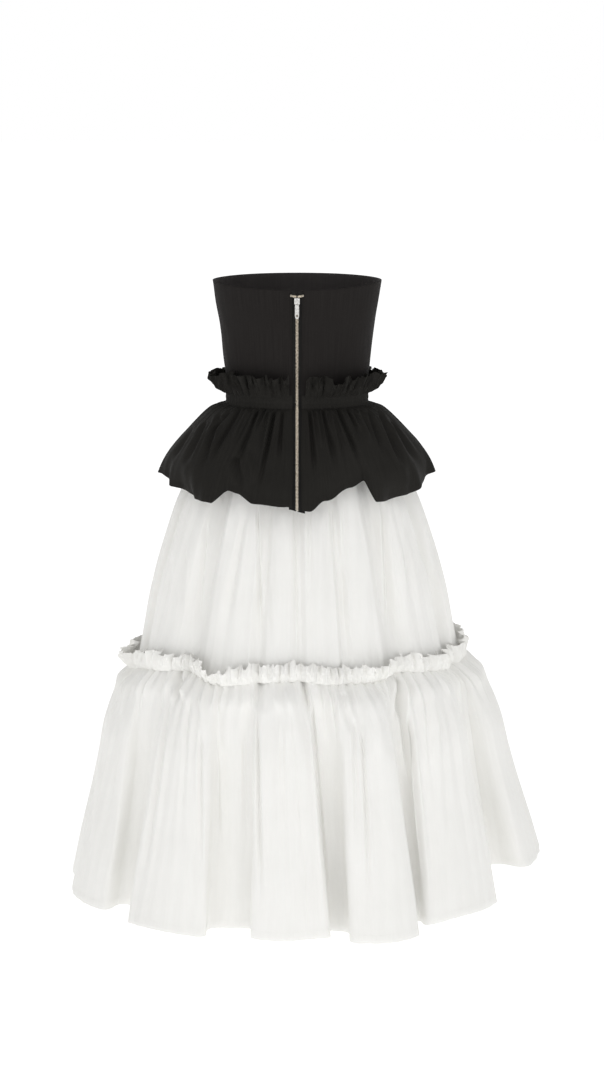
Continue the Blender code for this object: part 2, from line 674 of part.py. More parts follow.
def build_zip(cloth, metal, bright, dress, helpers):
    last = len(ZIP_HEIGHTS) + len(ZIP_SHARES)
    for name, side in (("zip_tape_left", -1), ("zip_tape_right", 1)):

        def tape(across, down, depth):
            inner = CHAIN_EDGE + SEAM_GAP
            return zip_place(side * mix(inner, TAPE_EDGE, across), down, depth)

        wall(name, tape, 1, last, TAPE_CLOTH, cloth, dress)

    def chain(across, down, depth):
        proud = (CHAIN_THICK - TAPE_CLOTH) / 2
        return zip_place(mix(-CHAIN_EDGE, CHAIN_EDGE, across), down, depth - proud)

    wall("zip_chain", chain, 1, last, CHAIN_THICK, metal, dress)

    frame = slider_frame()
    for name, side in (("zip_end_left", 1), ("zip_end_right", -1)):

        def end(across, down, depth):
            place = across * (len(ZIP_END_PATH) - 1)
            i = min(len(ZIP_END_PATH) - 2, max(0, math.floor(place)))
            here, there = Vector(ZIP_END_PATH[i]), Vector(ZIP_END_PATH[i + 1])
            before = Vector(ZIP_END_PATH[max(0, i - 1)])
            along = there - here if place > i else there - before
            if i == len(ZIP_END_PATH) - 2 and place >= i + 1:
                along = there - here
            out = Vector((-along.y, along.x, 0)).normalized()
            point = here.lerp(there, place - i) * MM
            point += out * (CHAIN_THICK / 2 - depth)
            point.z += mix(1.1, -1.1, down) * MM
            return frame @ Vector((point.x * side, point.y, point.z))

        wall(name, end, len(ZIP_END_PATH) - 1, 1, CHAIN_THICK, metal, dress)

    # The slider's two plates and the wedge between them, seen from the side, and its bridge.
    face = BODICE_CLOTH + SEAM_GAP + TAPE_CLOTH / 2
    front_in, back_in = -face + CHAIN_THICK / 2 + SEAM_GAP, -face - CHAIN_THICK / 2 - SEAM_GAP
    front, back, half = front_in + PLATE_THICK, back_in - PLATE_THICK, SLIDER_HALF_LENGTH
    wedge = half - 2.5 * MM
    side_view = [
        (front, -half),
        (front, half),
        (back, half),
        (back, -half),
        (back_in, -half),
        (back_in, wedge),
        (front_in, wedge),
        (front_in, -half),
    ]
    slider = flat_piece("zip_slider", [side_view], 2 * SLIDER_HALF_WIDTH, 0.3 * MM, bright, dress)
    axis, root = PULL_AXIS_OUT, front - 0.4 * MM
    arch = [
        (root, -2.7 * MM),
        (axis + 1.6 * MM, -2.7 * MM),
        (axis + 2.3 * MM, -2.0 * MM),
        (axis + 2.3 * MM, 2.0 * MM),
        (axis + 1.6 * MM, 2.7 * MM),
        (root, 2.7 * MM),
        (root, 1.4 * MM),
        (axis + 1.3 * MM, 1.4 * MM),
        (axis + 1.3 * MM, -1.4 * MM),
        (root, -1.4 * MM),
    ]
    bridge = flat_piece("zip_slider_bridge", [arch], 2 * BRIDGE_HALF_WIDTH, 0, bright, helpers)
    bridge.hide_render = True
    bridge.display_type = "WIRE"
    join = slider.modifiers.new("Bridge", "BOOLEAN")
    join.operation = "UNION"
    join.solver = "EXACT"
    join.object = bridge
    # A piece drawn in x and y from the side stands up with x pointing out and y up.
    side_on = frame @ Matrix(((0, 0, 1, 0), (1, 0, 0, 0), (0, 1, 0, 0), (0, 0, 0, 1)))
    slider.matrix_world = side_on
    bridge.matrix_world = side_on

    outline = [(-3.0, 0.7), (3.0, 0.7), (3.0, -6), (3.7, -8.5), (3.7, -27), (2.2, -31), (-2.2, -31)]
    outline += [(-3.7, -27), (-3.7, -8.5), (-3.0, -6)]
    eye = [(-1.9, -0.7), (1.9, -0.7), (1.9, -6.2), (-1.9, -6.2)]
    slot = [(-2.0, -24), (2.0, -24), (2.0, -27.4), (-2.0, -27.4)]
    rings = [rounded(outline, 0.6), rounded(eye, 0.5), rounded(slot, 0.8)]
    pull = flat_piece("zip_pull", rings, PULL_THICK, 0, bright, dress)
    pull.data.transform(Matrix.Rotation(RIGHT_ANGLE, 4, "X"))
    pull.location = frame @ Vector((0, PULL_AXIS_OUT, 0))


def build_dress():
    for leftover in list(bpy.data.objects):
        bpy.data.objects.remove(leftover)
    dress, helpers = make_collection("midi_dress"), make_collection("helpers")
    black = make_material("black_cloth", (0.0205, 0.0190, 0.0180), 0.85)
    peplum_black = make_material("black_peplum_cloth", (0.0170, 0.0160, 0.0145), 0.9)
    white = make_material("ivory_cloth", (0.840, 0.835, 0.805), 0.8)
    tape_black = make_material("zip_tape_cloth", (0.0130, 0.0125, 0.0120), 0.9)
    metal = make_material("zip_metal", (0.420, 0.390, 0.340), 0.4, 1.0)
    bright = make_material("bright_metal", (0.720, 0.710, 0.680), 0.25, 1.0)
    build_bodice(black, dress)
    build_waist(peplum_black, dress)
    build_peplum(peplum_black, dress)
    build_upper_tier(white, dress)
    build_lower_tier(white, dress)
    build_tier_ruffle(white, dress)
    build_zip(tape_black, metal, bright, dress, helpers)


build_dress()
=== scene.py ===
# %% [markdown]
# # A strapless midi dress with a peplum and two gathered tiers
#
# The dress keeps its worn shape with nobody in it: a black boned bodice, a gathered band and ruffle
# at the waist, a fluted black peplum, and an ivory skirt in two tiers with a ruffle over their seam.
# A metal zip runs down the centre back. Every piece of cloth is a grid whose points come from a
# formula for the worn cloth, so that the same few sizes give the panels, their seams and what is
# sewn on them. Units are metres, +Z is up, the front faces -Y and the zip is at +Y.

# %% Tools
import math

import bpy
import numpy as np
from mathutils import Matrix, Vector


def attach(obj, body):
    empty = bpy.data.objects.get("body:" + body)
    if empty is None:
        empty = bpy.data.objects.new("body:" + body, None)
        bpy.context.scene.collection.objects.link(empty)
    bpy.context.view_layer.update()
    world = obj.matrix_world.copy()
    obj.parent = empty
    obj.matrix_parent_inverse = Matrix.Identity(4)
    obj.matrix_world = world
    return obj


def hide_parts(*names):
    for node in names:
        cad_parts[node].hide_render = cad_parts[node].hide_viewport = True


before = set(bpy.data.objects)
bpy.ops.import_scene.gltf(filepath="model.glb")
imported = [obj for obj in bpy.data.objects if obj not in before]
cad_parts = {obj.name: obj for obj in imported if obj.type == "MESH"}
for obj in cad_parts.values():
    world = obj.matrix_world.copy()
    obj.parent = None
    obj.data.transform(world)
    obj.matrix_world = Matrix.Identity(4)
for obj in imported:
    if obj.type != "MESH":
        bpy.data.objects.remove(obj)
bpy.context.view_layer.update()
MM = 0.001

# %% [markdown]
# ## Sizes
#
# A dress is drafted from a few girths and lengths. Each part of the worn dress has a short table of
# its mean outline: half its width, and its depth behind and in front of the waist's middle. A smooth
# curve through the rows gives every height between. Tables are used here, and not a sculpted mesh,
# because the bodice, the peplum and both tiers must meet exactly at their seams.

# %% Sizes that several pieces share
NECKLINE_Z, NECK_BACK_DIP, NECK_FRONT_RISE = 0.222, 0.011, 0.003
BODICE_FOOT_Z, BAND_TOP_Z, BAND_FOOT_Z = 0.006, 0.021, -0.003
SKIRT_TOP_Z, TIER_SEAM_Z, HEM_Z = 0.0057, -0.481, -0.904
ZIP_OPENING, TAPE_EDGE, CHAIN_EDGE = 8.0 * MM, 14.0 * MM, 3.0 * MM
PRINCESS, QUARTER, TURN = math.radians(146), math.pi / 2, 2 * math.pi
SIDES = (("left", -1), ("right", 1))
# Mean half widths of the dress, which turn a distance round it into an angle and back.
BODICE_HALF, WAIST_HALF, BAND_HALF, PANEL_HALF = 0.133, 0.13, 0.128, 0.12
HIP_HALF, UPPER_HALF, TIER_HALF = 0.17, 0.24, 0.29
print("from the neckline to the hem:", round(NECKLINE_Z - HEM_Z, 3), "m")


# %% Curves and ovals
def smooth(x):
    """Eases from 0 to 1."""
    x = np.clip(x, 0.0, 1.0)
    return x * x * (3 - 2 * x)


def mix(a, b, share):
    return a + (b - a) * share


def bell(x, width=1.0):
    """1 at 0, and less and less on both sides."""
    return np.exp(-((x / width) ** 2))


def signed(angle):
    """An angle from the centre back, from minus to plus half a turn."""
    return np.mod(angle + math.pi, TURN) - math.pi


def through(rows, x):
    """Smooth curves through a table's rows: one array for each column after the first."""
    table = np.array(rows)
    keys, values = table[:, 0], table[:, 1:]
    x = np.asarray(x, float)
    i = np.clip(np.searchsorted(keys, x, side="right") - 1, 0, len(keys) - 2)
    span = (keys[i + 1] - keys[i])[..., None]
    s = (x - keys[i])[..., None] / span
    ends = np.arange(len(keys))
    low, high = np.maximum(ends - 1, 0), np.minimum(ends + 1, len(keys) - 1)
    slopes = (values[high] - values[low]) / (keys[high] - keys[low])[:, None]
    first, second = slopes[i] * span, slopes[i + 1] * span
    curve = values[i] * (1 + 2 * s) * (1 - s) ** 2 + values[i + 1] * s * s * (3 - 2 * s)
    curve = curve + first * s * (1 - s) ** 2 - second * s * s * (1 - s)
    return list(np.moveaxis(curve, -1, 0))


def on_oval(angle, half_width, back, front, out, height):
    """Points at angles round an oval section, moved out across its edge. The last axis is x, y, z."""
    depth = np.where(np.cos(angle) > 0, back, front)
    x, y = -half_width * np.sin(angle), depth * np.cos(angle)
    across_x, across_y = x / half_width**2, y / depth**2
    size = np.hypot(across_x, across_y)
    x = x + across_x / size * out
    y = y + across_y / size * out
    return np.stack(np.broadcast_arrays(x, y, height), axis=-1)


def run_along(points):
    """How far along a line of points each of them lies, in metres."""
    return np.concatenate([[0.0], np.cumsum(np.linalg.norm(np.diff(points, axis=0), axis=1))])


waist = on_oval(np.linspace(0, TURN, 181), 0.128, 0.0905, 0.092, 0.0, 0.0)
print("waist", round(float(run_along(waist)[-1]), 3), "m round")

# %% [markdown]
# ## Camera
#
# The photograph looks at the back of the dress from a little above, with a long lens. The camera
# stands 5 m behind the dress and 0.66 m over the waist. Matching the camera first lets every later
# choice be judged in the photograph's own frame. Its field of view is worked out from the frame's
# height in pixels and the focal length that the dress's size gives.

# %% Camera
PHOTO_WIDTH, PHOTO_HEIGHT, FOCAL_PIXELS, SENSOR_MM = 604, 1069, 2732, 36.0
CAMERA_PLACE, CAMERA_AIM = Vector((-0.009, 5.0, 0.66)), Vector((-0.009, 0.0, -0.2515))


def placed(made, place, aim):
    """An object that stands at a place, looks at its aim and is in the scene."""
    made.location = place
    made.rotation_euler = (Vector(aim) - Vector(place)).to_track_quat("-Z", "Y").to_euler()
    bpy.context.scene.collection.objects.link(made)
    return made


lens = bpy.data.cameras.new("Studio camera")
lens.sensor_fit = "AUTO"
lens.sensor_width = SENSOR_MM
lens.lens = SENSOR_MM * FOCAL_PIXELS / PHOTO_HEIGHT
lens.clip_end = 60
camera = bpy.data.objects.new("Studio camera", lens)
bpy.context.scene.camera = placed(camera, CAMERA_PLACE, CAMERA_AIM)


def photo_place(points):
    """Where the camera sees points, in the photograph's pixels."""
    back = (CAMERA_PLACE - CAMERA_AIM).normalized()
    right = Vector((0, 0, 1)).cross(back).normalized()
    moved = points - np.array(CAMERA_PLACE)
    depth = -(moved @ np.array(back))
    x = PHOTO_WIDTH / 2 + FOCAL_PIXELS * (moved @ np.array(right)) / depth
    return x, PHOTO_HEIGHT / 2 - FOCAL_PIXELS * (moved @ np.array(back.cross(right))) / depth


print("lens", round(lens.lens, 1), "mm; the waist's middle is seen at",
      [round(float(v)) for v in photo_place(np.zeros(3))])

# %% [markdown]
# ## Uneven cloth
#
# No two gathers of real cloth are alike: some lie close, some are deep, some run on into a long
# fold. A gather here is a wave whose spacing, depth and length each wander slowly round the dress.
# The wandering is a sum of a few sine waves with seeded phases, so it closes up after one turn and
# comes out the same on every run.


# %% Wandering values and gathers
def wander(angle, seed, low, high):
    """A value near -1 to 1 that drifts round the dress, with low to high swings a turn."""
    rng = np.random.default_rng(seed)
    total, size = 0.0, 0.0
    for swings in range(low, high + 1):
        weight = rng.uniform(0.4, 1.0)
        total = total + weight * np.sin(swings * angle + rng.uniform(0, TURN))
        size += weight**2
    return total / math.sqrt(size) * 0.8


def gathers(angle, below, count, seed, reach, sharp=0.55):
    """Gathers from -1, a narrow valley, to 1, a round crest, fading out at about reach below a seam."""
    phase = count * angle + 1.9 * wander(angle, seed, 3, 11)
    crest = 2 * (np.sin(phase / 2) ** 2 + 0.004) ** sharp - 1
    depth = 0.7 + 0.3 * wander(angle, seed + 1, 5, 23)
    length = reach * (1 + 0.55 * wander(angle, seed + 2, 7, 31))
    return crest * depth * np.exp(-((np.maximum(below, 0) / np.maximum(length, 0.2 * reach)) ** 1.5))


three = gathers(np.array([0.0, 0.1, 0.2]), 0, count=40, seed=1, reach=0.05)
print("gathers at three places:", np.round(three, 2))

# %% [markdown]
# The creases that catch the eye are placed one by one. Each is a soft trough, or a ridge, along a
# line in the cloth. Those of the side that the photograph shows are placed by its pixels, through
# the camera, and those of the hidden side by metres round the dress.


# %% Creases
def creases(x, y, table, unit=0.001):
    """Soft troughs, or ridges where the depth is below 0, each along a line in the cloth.

    Rows: x and y at the top, x and y at the foot, depth in millimetres and width in units. A crease
    starts short under its top and fades out slowly towards its foot, with a low swell on each side.
    """
    total = 0.0
    for x0, y0, x1, y1, depth, width in table:
        dx, dy = x1 - x0, y1 - y0
        length = math.hypot(dx, dy)
        along = ((x - x0) * dx + (y - y0) * dy) / length**2
        beside = ((x - x0) * dy - (y - y0) * dx) / length / (width * unit)
        beside = beside / (0.7 + 0.6 * np.clip(along, 0, 1))
        fade = smooth(along / 0.15) * smooth((1 - along) / 0.45)
        shape = bell(beside) - 0.4 * bell(np.abs(beside) - 2.0)
        total = total - depth * MM * fade * shape
    return total


def seen_creases(points, table):
    """Creases of the side that the photograph shows, placed by its pixels."""
    x, y = photo_place(points)
    return creases(x, y, table, 1.0) * smooth(points[..., 1] / 0.05)


def hidden_creases(x, y, table, angle, soft=0.2):
    """Creases of the front, placed by metres."""
    return creases(x, y, table) * smooth(-np.cos(angle) / soft)


one_crease = creases(np.array([0.0, 0.004]), np.array([0.05, 0.05]), [(0, 0, 0, 0.1, 5, 4)])
print("a crease 5 mm deep, in its middle and 4 mm beside it:", np.round(one_crease / MM, 1), "mm")

# %% [markdown]
# ## Pieces
#
# Every piece is a mesh of its own that rides on the dress and stands for the solid that it covers.
# A sheet is a grid of quads through rows of points. It gets a UV map in metres along and down the
# cloth, as if it lay flat, so that threads keep their size.


def new_object(name, points, faces, material):
    """A smooth mesh object from its points and faces."""
    mesh = bpy.data.meshes.new(name)
    mesh.from_pydata(np.reshape(points, (-1, 3)).tolist(), [], faces)
    mesh.polygons.foreach_set("use_smooth", [True] * len(faces))
    mesh.materials.append(material)
    made = bpy.data.objects.new(name, mesh)
    bpy.context.scene.collection.objects.link(made)
    return made


def dress_piece(name, points, faces, material, flat, solid=None):
    """A piece of the dress. flat holds each face corner's place in the cloth, in metres."""
    piece = new_object(name, points, faces, material)
    if flat is not None:
        uv = piece.data.uv_layers.new(name="Cloth")
        uv.data.foreach_set("uv", flat.astype(np.float32).reshape(-1))
    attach(piece, "dress")
    if solid:
        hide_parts(solid)
    return piece


def sheet_over(solid, points, cloth, turned=False, ending="cloth"):
    """A sheet of cloth from rows of points, in the place of its solid."""
    rows, columns = points.shape[:2]
    corner = np.arange(rows * columns).reshape(rows, columns)
    faces = np.stack([corner[:-1, :-1], corner[1:, :-1], corner[1:, 1:], corner[:-1, 1:]], axis=-1)
    faces = faces.reshape(-1, 4)[:, :: -1 if turned else 1]
    across = np.linalg.norm(np.diff(points, axis=1), axis=2)
    down = np.linalg.norm(np.diff(points, axis=0), axis=2)
    u = np.concatenate([[0.0], np.cumsum(across.mean(axis=0))])
    v = np.concatenate([[0.0], np.cumsum(down.mean(axis=1))])
    flat = np.stack(np.broadcast_arrays(u[None, :], -v[:, None]), axis=-1).reshape(-1, 2)
    return dress_piece(f"{solid}_{ending}", points, faces.tolist(), cloth, flat[faces.reshape(-1)], solid)


def turned_up(rows, crowding, past, inside):
    """A hemmed panel's rows: their share of the way down, and how far inside they lie, in metres.

    past and inside, in millimetres, are those of the rows that go round the hem's edge and up again.
    """
    down = np.concatenate([np.linspace(0, 1, rows) ** crowding, past])
    return down[:, None], np.concatenate([np.zeros(rows), inside])[:, None] * MM


def cut_panels(title, make, panels):
    """Makes the panels of one part and prints the width and the length that each is cut to."""
    for panel in panels:
        print(title, panel[0], "cut", [round(v, 3) for v in make(*panel)], "m")


def cloth_area(points):
    a, b = points[1:, 1:] - points[:-1, :-1], points[1:, :-1] - points[:-1, 1:]
    return float(np.linalg.norm(np.cross(a, b), axis=2).sum() / 2)


square = np.array([[[0, 0, 0], [0.1, 0, 0]], [[0, 0, -0.1], [0.1, 0, -0.1]]])
print("a sheet 0.1 m square measures", round(cloth_area(square), 3), "square metres")

# %% [markdown]
# ## Cloth materials
#
# The bodice is a matt off-black cloth with fine upright slubs, threads that swell a little here and
# there. The skirt is a plain ivory cloth with a fine weave that only shows close up. Both share two
# node groups: one makes a weave's tiny relief from two crossed waves, and one makes the slubs from
# noise that is stretched along the cloth. The groups read the UV map, which is in metres, so the
# threads have their real size.


# %% Nodes and shared node groups
def node(tree, kind, **settings):
    """A node with its settings. A name that starts with in_ is an input: a value, or what feeds it."""
    made = tree.nodes.new("ShaderNode" + kind)
    for key, value in settings.items():
        if not key.startswith("in_"):
            setattr(made, key, value)
            continue
        place = key[3:]
        socket = made.inputs[int(place) if place.isdigit() else place.replace("_", " ")]
        if isinstance(value, bpy.types.NodeSocket):
            tree.links.new(value, socket)
        else:
            socket.default_value = value
    return made


def noise(tree, where, scale, detail, roughness=0.5):
    """Cloudy values from 0 to 1, read at a place."""
    return node(tree, "TexNoise", in_Vector=where, in_Scale=scale, in_Detail=detail,
                in_Roughness=roughness).outputs["Fac"]


def new_group(name, output, **inputs):
    """A node group with number inputs, and its given values and output."""
    group = bpy.data.node_groups.new(name, "ShaderNodeTree")
    for label, value in inputs.items():
        socket = group.interface.new_socket(label, in_out="INPUT", socket_type="NodeSocketFloat")
        socket.default_value = value
    group.interface.new_socket(output, in_out="OUTPUT", socket_type="NodeSocketFloat")
    return group, group.nodes.new("NodeGroupInput").outputs, group.nodes.new("NodeGroupOutput").inputs


def weave_group():
    """Relief of a plain weave: warp and weft threads that cross, over and under."""
    group, given, out = new_group("Weave", "Height", Thread=0.0006)
    place = node(group, "UVMap", uv_map="Cloth")
    turns = node(group, "Math", operation="DIVIDE", in_0=math.pi, in_1=given["Thread"])
    scaled = node(group, "VectorMath", operation="SCALE", in_0=place.outputs["UV"],
                  in_Scale=turns.outputs[0])
    parts = node(group, "SeparateXYZ", in_0=scaled.outputs[0])
    warp, weft = (node(group, "Math", operation="SINE", in_0=parts.outputs[axis]).outputs[0]
                  for axis in "XY")
    crossed = node(group, "Math", operation="MULTIPLY", in_0=warp, in_1=weft)
    group.links.new(crossed.outputs[0], out["Height"])
    return group


def slub_group():
    """Upright slubs: noise drawn out along the cloth, as a value from 0 to 1."""
    group, given, out = new_group("Slubs", "Value", Across=900.0, Along=14.0)
    place = node(group, "UVMap", uv_map="Cloth")
    scale = node(group, "CombineXYZ", in_X=given["Across"], in_Y=given["Along"])
    drawn = node(group, "VectorMath", operation="MULTIPLY", in_0=place.outputs["UV"],
                 in_1=scale.outputs[0])
    group.links.new(noise(group, drawn.outputs[0], 1.0, 3.0, 0.6), out["Value"])
    return group


WEAVE, SLUBS = weave_group(), slub_group()
print("node groups:", WEAVE.name, "with", len(WEAVE.nodes), "nodes,", SLUBS.name, "with", len(SLUBS.nodes))

# %% [markdown]
# A cloth's shader is a Principled BSDF with a high roughness and a little sheen, the soft light that
# loose fibres catch at grazing angles. Its colour drifts slightly between two tones: along the slubs,
# and in broad patches, as cloth does where it was pressed or handled. Two bumps add relief, the
# weave and the slubs, and a third, broader one the faint crinkle that pressing leaves.


# %% Cloth materials
def new_material(name, slot, **values):
    """A material, its node tree and its Principled BSDF with some plain values."""
    material = bpy.data.materials.new(name)
    material.use_nodes = True
    shader = material.node_tree.nodes["Principled BSDF"]
    for socket, value in values.items():
        shader.inputs[socket.replace("_", " ")].default_value = value
    return material, material.node_tree, shader


def bump(tree, height, depth_mm, **under):
    """The normal of a relief that is depth_mm deep where height goes from 0 to 1."""
    return node(tree, "Bump", in_Distance=depth_mm * MM, in_Strength=1.0, in_Height=height,
                **under).outputs["Normal"]


def two_tones(tree, value, low, high):
    """A colour that goes from one tone to another. low and high: the value there and its colour."""
    ramp = node(tree, "ValToRGB", in_Fac=value)
    for element, (place, colour) in zip(ramp.color_ramp.elements, (low, high)):
        element.position, element.color = place, (*colour, 1)
    return ramp.outputs["Color"]


def cloth_material(name, slot, dark, light, thread, slub, relief, crinkle, roughness, sheen, gloss=0.10):
    """A cloth that drifts between two tones and has three bumps.

    thread is the weave's in metres. slub: its scale across and along, and its share in the colour.
    relief: how deep the weave and the slubs are, in millimetres. crinkle: its scale and its depth.
    """
    material, tree, shader = new_material(name, slot, Roughness=roughness, Sheen_Weight=sheen,
                                          Sheen_Roughness=0.5, Specular_IOR_Level=gloss)
    slubs = node(tree, "Group", node_tree=SLUBS, in_Across=slub[0], in_Along=slub[1])
    weave = node(tree, "Group", node_tree=WEAVE, in_Thread=thread)
    where = node(tree, "TexCoord").outputs["Object"]
    patches, waves = noise(tree, where, 9.0, 4.0, 0.55), noise(tree, where, crinkle[0], 3.0)
    tone = node(tree, "Mix", data_type="FLOAT", in_0=slub[2], in_2=patches, in_3=slubs.outputs["Value"])
    tones = two_tones(tree, tone.outputs[0], (0.3, dark), (0.7, light))
    tree.links.new(tones, shader.inputs["Base Color"])
    normal = bump(tree, waves, crinkle[1])
    normal = bump(tree, slubs.outputs["Value"], relief[1], in_Normal=normal)
    normal = bump(tree, weave.outputs["Height"], relief[0], in_Normal=normal)
    tree.links.new(normal, shader.inputs["Normal"])
    return material


black_cloth = cloth_material(
    "Slubbed black cloth", "black_cloth", (0.0120, 0.0104, 0.0098), (0.0185, 0.0165, 0.0156),
    0.0007, (620, 9, 0.75), (0.05, 0.22), (60, 0.4), roughness=0.85, sheen=0.02,
)
peplum_cloth = cloth_material(
    "Black peplum cloth", "black_peplum_cloth", (0.0135, 0.0127, 0.0113), (0.0216, 0.0205, 0.0183),
    0.0006, (420, 12, 0.45), (0.05, 0.12), (45, 0.9), roughness=0.72, sheen=0.0, gloss=0.07,
)
ivory_cloth = cloth_material(
    "Ivory cloth", "ivory_cloth", (0.868, 0.862, 0.834), (0.912, 0.907, 0.882),
    0.0006, (300, 20, 0.35), (0.04, 0.06), (38, 1.1), roughness=0.85, sheen=0.05,
)
# The facing is the bodice's own cloth, but its colour is painted much lighter to stand in for light where
# the inside of the bodice lies in shade.
facing_cloth_painted_light = cloth_material(
    "Black facing cloth with painted light", "black_cloth", (0.035, 0.0315, 0.031), (0.049, 0.0450, 0.0445),
    0.0005, (500, 10, 0.45), (0.04, 0.12), (50, 0.6), roughness=0.6, sheen=0.02,
)
tape_cloth = cloth_material(
    "Zip tape", "zip_tape_cloth", (0.0090, 0.0088, 0.0084), (0.0170, 0.0165, 0.0158),
    0.0009, (1100, 300, 0.5), (0.12, 0.10), (80, 0.2), roughness=0.8, sheen=0.05,
)

# %% [markdown]
# ## Bodice
#
# The bodice is cut in five panels with princess seams over the bust, and boned, so it stands by
# itself and hardly creases. The panels are grids on the body's oval with two cups moved out in
# front. Near each seam the cloth dips a little into it. At the neckline the cloth turns over to the
# inside as a facing, whose top shows when the dress is seen from above. It is the same grid, carried
# on over the edge and down inside, in a copy of the bodice's cloth painted much lighter: painted
# light that lifts the shade inside the bodice.

# %% Shape of the bodice
BODICE_OUTLINE = [
    (-0.01, 0.128, 0.0905, 0.092), (0.024, 0.129, 0.0905, 0.0935), (0.07, 0.134, 0.093, 0.0985),
    (0.126, 0.14, 0.097, 0.106), (0.154, 0.1438, 0.099, 0.11), (0.19, 0.15, 0.101, 0.112),
    (0.23, 0.156, 0.103, 0.111),
]
CUP_DEPTH, SEAM_DEPTH = 13.0 * MM, 1.2 * MM


def bodice_point(angle, height, out=0.0):
    half_width, back, front = through(BODICE_OUTLINE, height)
    around = bell(np.abs(signed(angle)) - PRINCESS, 0.42)
    cup = CUP_DEPTH * bell(height - 0.150, 0.055) * around
    return on_oval(angle, half_width, back, front, cup + out, height)


def neckline_z(angle):
    around = np.cos(angle)
    dip, rise = np.maximum(around, 0) ** 1.5, np.maximum(-around, 0) ** 1.5
    return NECKLINE_Z - NECK_BACK_DIP * dip + NECK_FRONT_RISE * rise


def seam_dip(across, width, reach=0.0026):
    """How far cloth dips into the seams at a panel's two edges."""
    near = np.minimum(across, 1 - across) * width
    return -SEAM_DEPTH * bell(near, reach)


print("neckline at the back and the front:", [round(float(neckline_z(a)), 3) for a in (0, math.pi)])

# %% Bodice panels
# Rows: metres round the waist and height, at the top and the foot of a crease, then its depth and
# width in millimetres.
BODICE_CREASES = [
    (0.030, 0.060, 0.110, 0.072, 0.5, 6), (-0.028, 0.052, -0.120, 0.070, 0.5, 7),
    (0.050, 0.085, 0.150, 0.100, 0.35, 8), (-0.040, 0.098, -0.130, 0.086, 0.35, 8),
    (0.014, 0.150, 0.075, 0.168, 0.35, 7), (-0.014, 0.128, -0.080, 0.140, 0.35, 7),
    (0.250, 0.048, 0.330, 0.060, 0.5, 8), (-0.260, 0.055, -0.350, 0.046, 0.5, 8),
    (0.300, 0.095, 0.380, 0.110, -0.4, 9), (-0.290, 0.100, -0.370, 0.086, -0.4, 9),
]
# Rows: name, the angles of its two edges, and the columns of its grid.
BODICE_PANELS = [
    ("back_left", -QUARTER, -ZIP_OPENING / BODICE_HALF, 90),
    ("back_right", ZIP_OPENING / BODICE_HALF, QUARTER, 90),
    ("front_right", QUARTER, PRINCESS, 64),
    ("front_centre", PRINCESS, TURN - PRINCESS, 80),
    ("front_left", -PRINCESS, -QUARTER, 64),
]
# Rows of the facing, from its foot inside: place down the bodice as a share, and mm outward. The
# last three are the turned edge, in the bodice's own cloth.
FACING = [(0.240, -2.0), (0.180, -1.9), (0.120, -1.9), (0.060, -1.9), (0.030, -1.9), (0.006, -1.7),
          (-0.002, -1.3), (-0.004, -0.7), (-0.002, -0.2)]
EDGE_ROWS, BODICE_ROWS, MEASURED_ROW = 3, 56, 30
BODICE_LENGTH, FACING_LENGTH = 0.216, 0.052


def bodice_panel(name, start, end, columns):
    across = np.linspace(0, 1, columns + 1)
    angle = np.linspace(start, end, columns + 1)[None, :]
    down = np.concatenate([[row[0] for row in FACING], np.linspace(0, 1, BODICE_ROWS)])[:, None]
    out = np.concatenate([[row[1] * MM for row in FACING], np.zeros(BODICE_ROWS)])[:, None]
    height = mix(neckline_z(angle), BODICE_FOOT_Z, down)
    relief = creases(signed(angle) * WAIST_HALF, height, BODICE_CREASES)
    relief = relief + 0.35 * MM * wander(angle, seed=11, low=6, high=22) * np.sin(height * 70 + 3 * angle)
    relief = relief + seam_dip(across, abs(end - start) * PANEL_HALF)[None, :]
    points = bodice_point(angle, height, out + relief * (out == 0))
    piece = sheet_over(f"bodice_{name}", points, black_cloth)
    # The facing rows get the lighter copy of the cloth: painted light against the shade inside the bodice.
    piece.data.materials.append(facing_cloth_painted_light)
    turned_in = np.zeros(len(piece.data.polygons), int)
    turned_in[: (len(FACING) - EDGE_ROWS) * columns] = 1
    piece.data.polygons.foreach_set("material_index", turned_in)
    size = (float(run_along(points[MEASURED_ROW])[-1]), BODICE_LENGTH + FACING_LENGTH)
    return size


cut_panels("bodice", bodice_panel, BODICE_PANELS)

# %% [markdown]
# ## Waist band
#
# The peplum is gathered on rows of elastic thread, which makes a narrow puckered band at the waist.
# The puckers are gathers that swell between the threads and are drawn in at them.


# %% Waist band
def band_points(columns, rows, lift=0.0):
    start = ZIP_OPENING / BAND_HALF
    angle = np.linspace(start, TURN - start, columns)[None, :]
    down = np.linspace(0, 1, rows)[:, None]
    height = mix(BAND_TOP_Z, BAND_FOOT_Z - 3.0 * MM, down)
    open_edge = smooth((np.minimum(angle, TURN - angle) - start) / 0.08)
    puff = 0.5 + 0.5 * gathers(angle, 0 * height, count=96, seed=21, reach=1.0)
    threads = np.abs(np.sin(down * math.pi * 3))
    out = 1.7 * MM + (0.5 + 1.5 * puff * (0.35 + 0.65 * threads)) * MM * open_edge
    return bodice_point(angle, height, out + 1.6 * MM * smooth((down - 0.75) / 0.25) + lift)


band = sheet_over("waist_band", band_points(900, 16), peplum_cloth)
print("waist band", len(band.data.polygons), "faces")
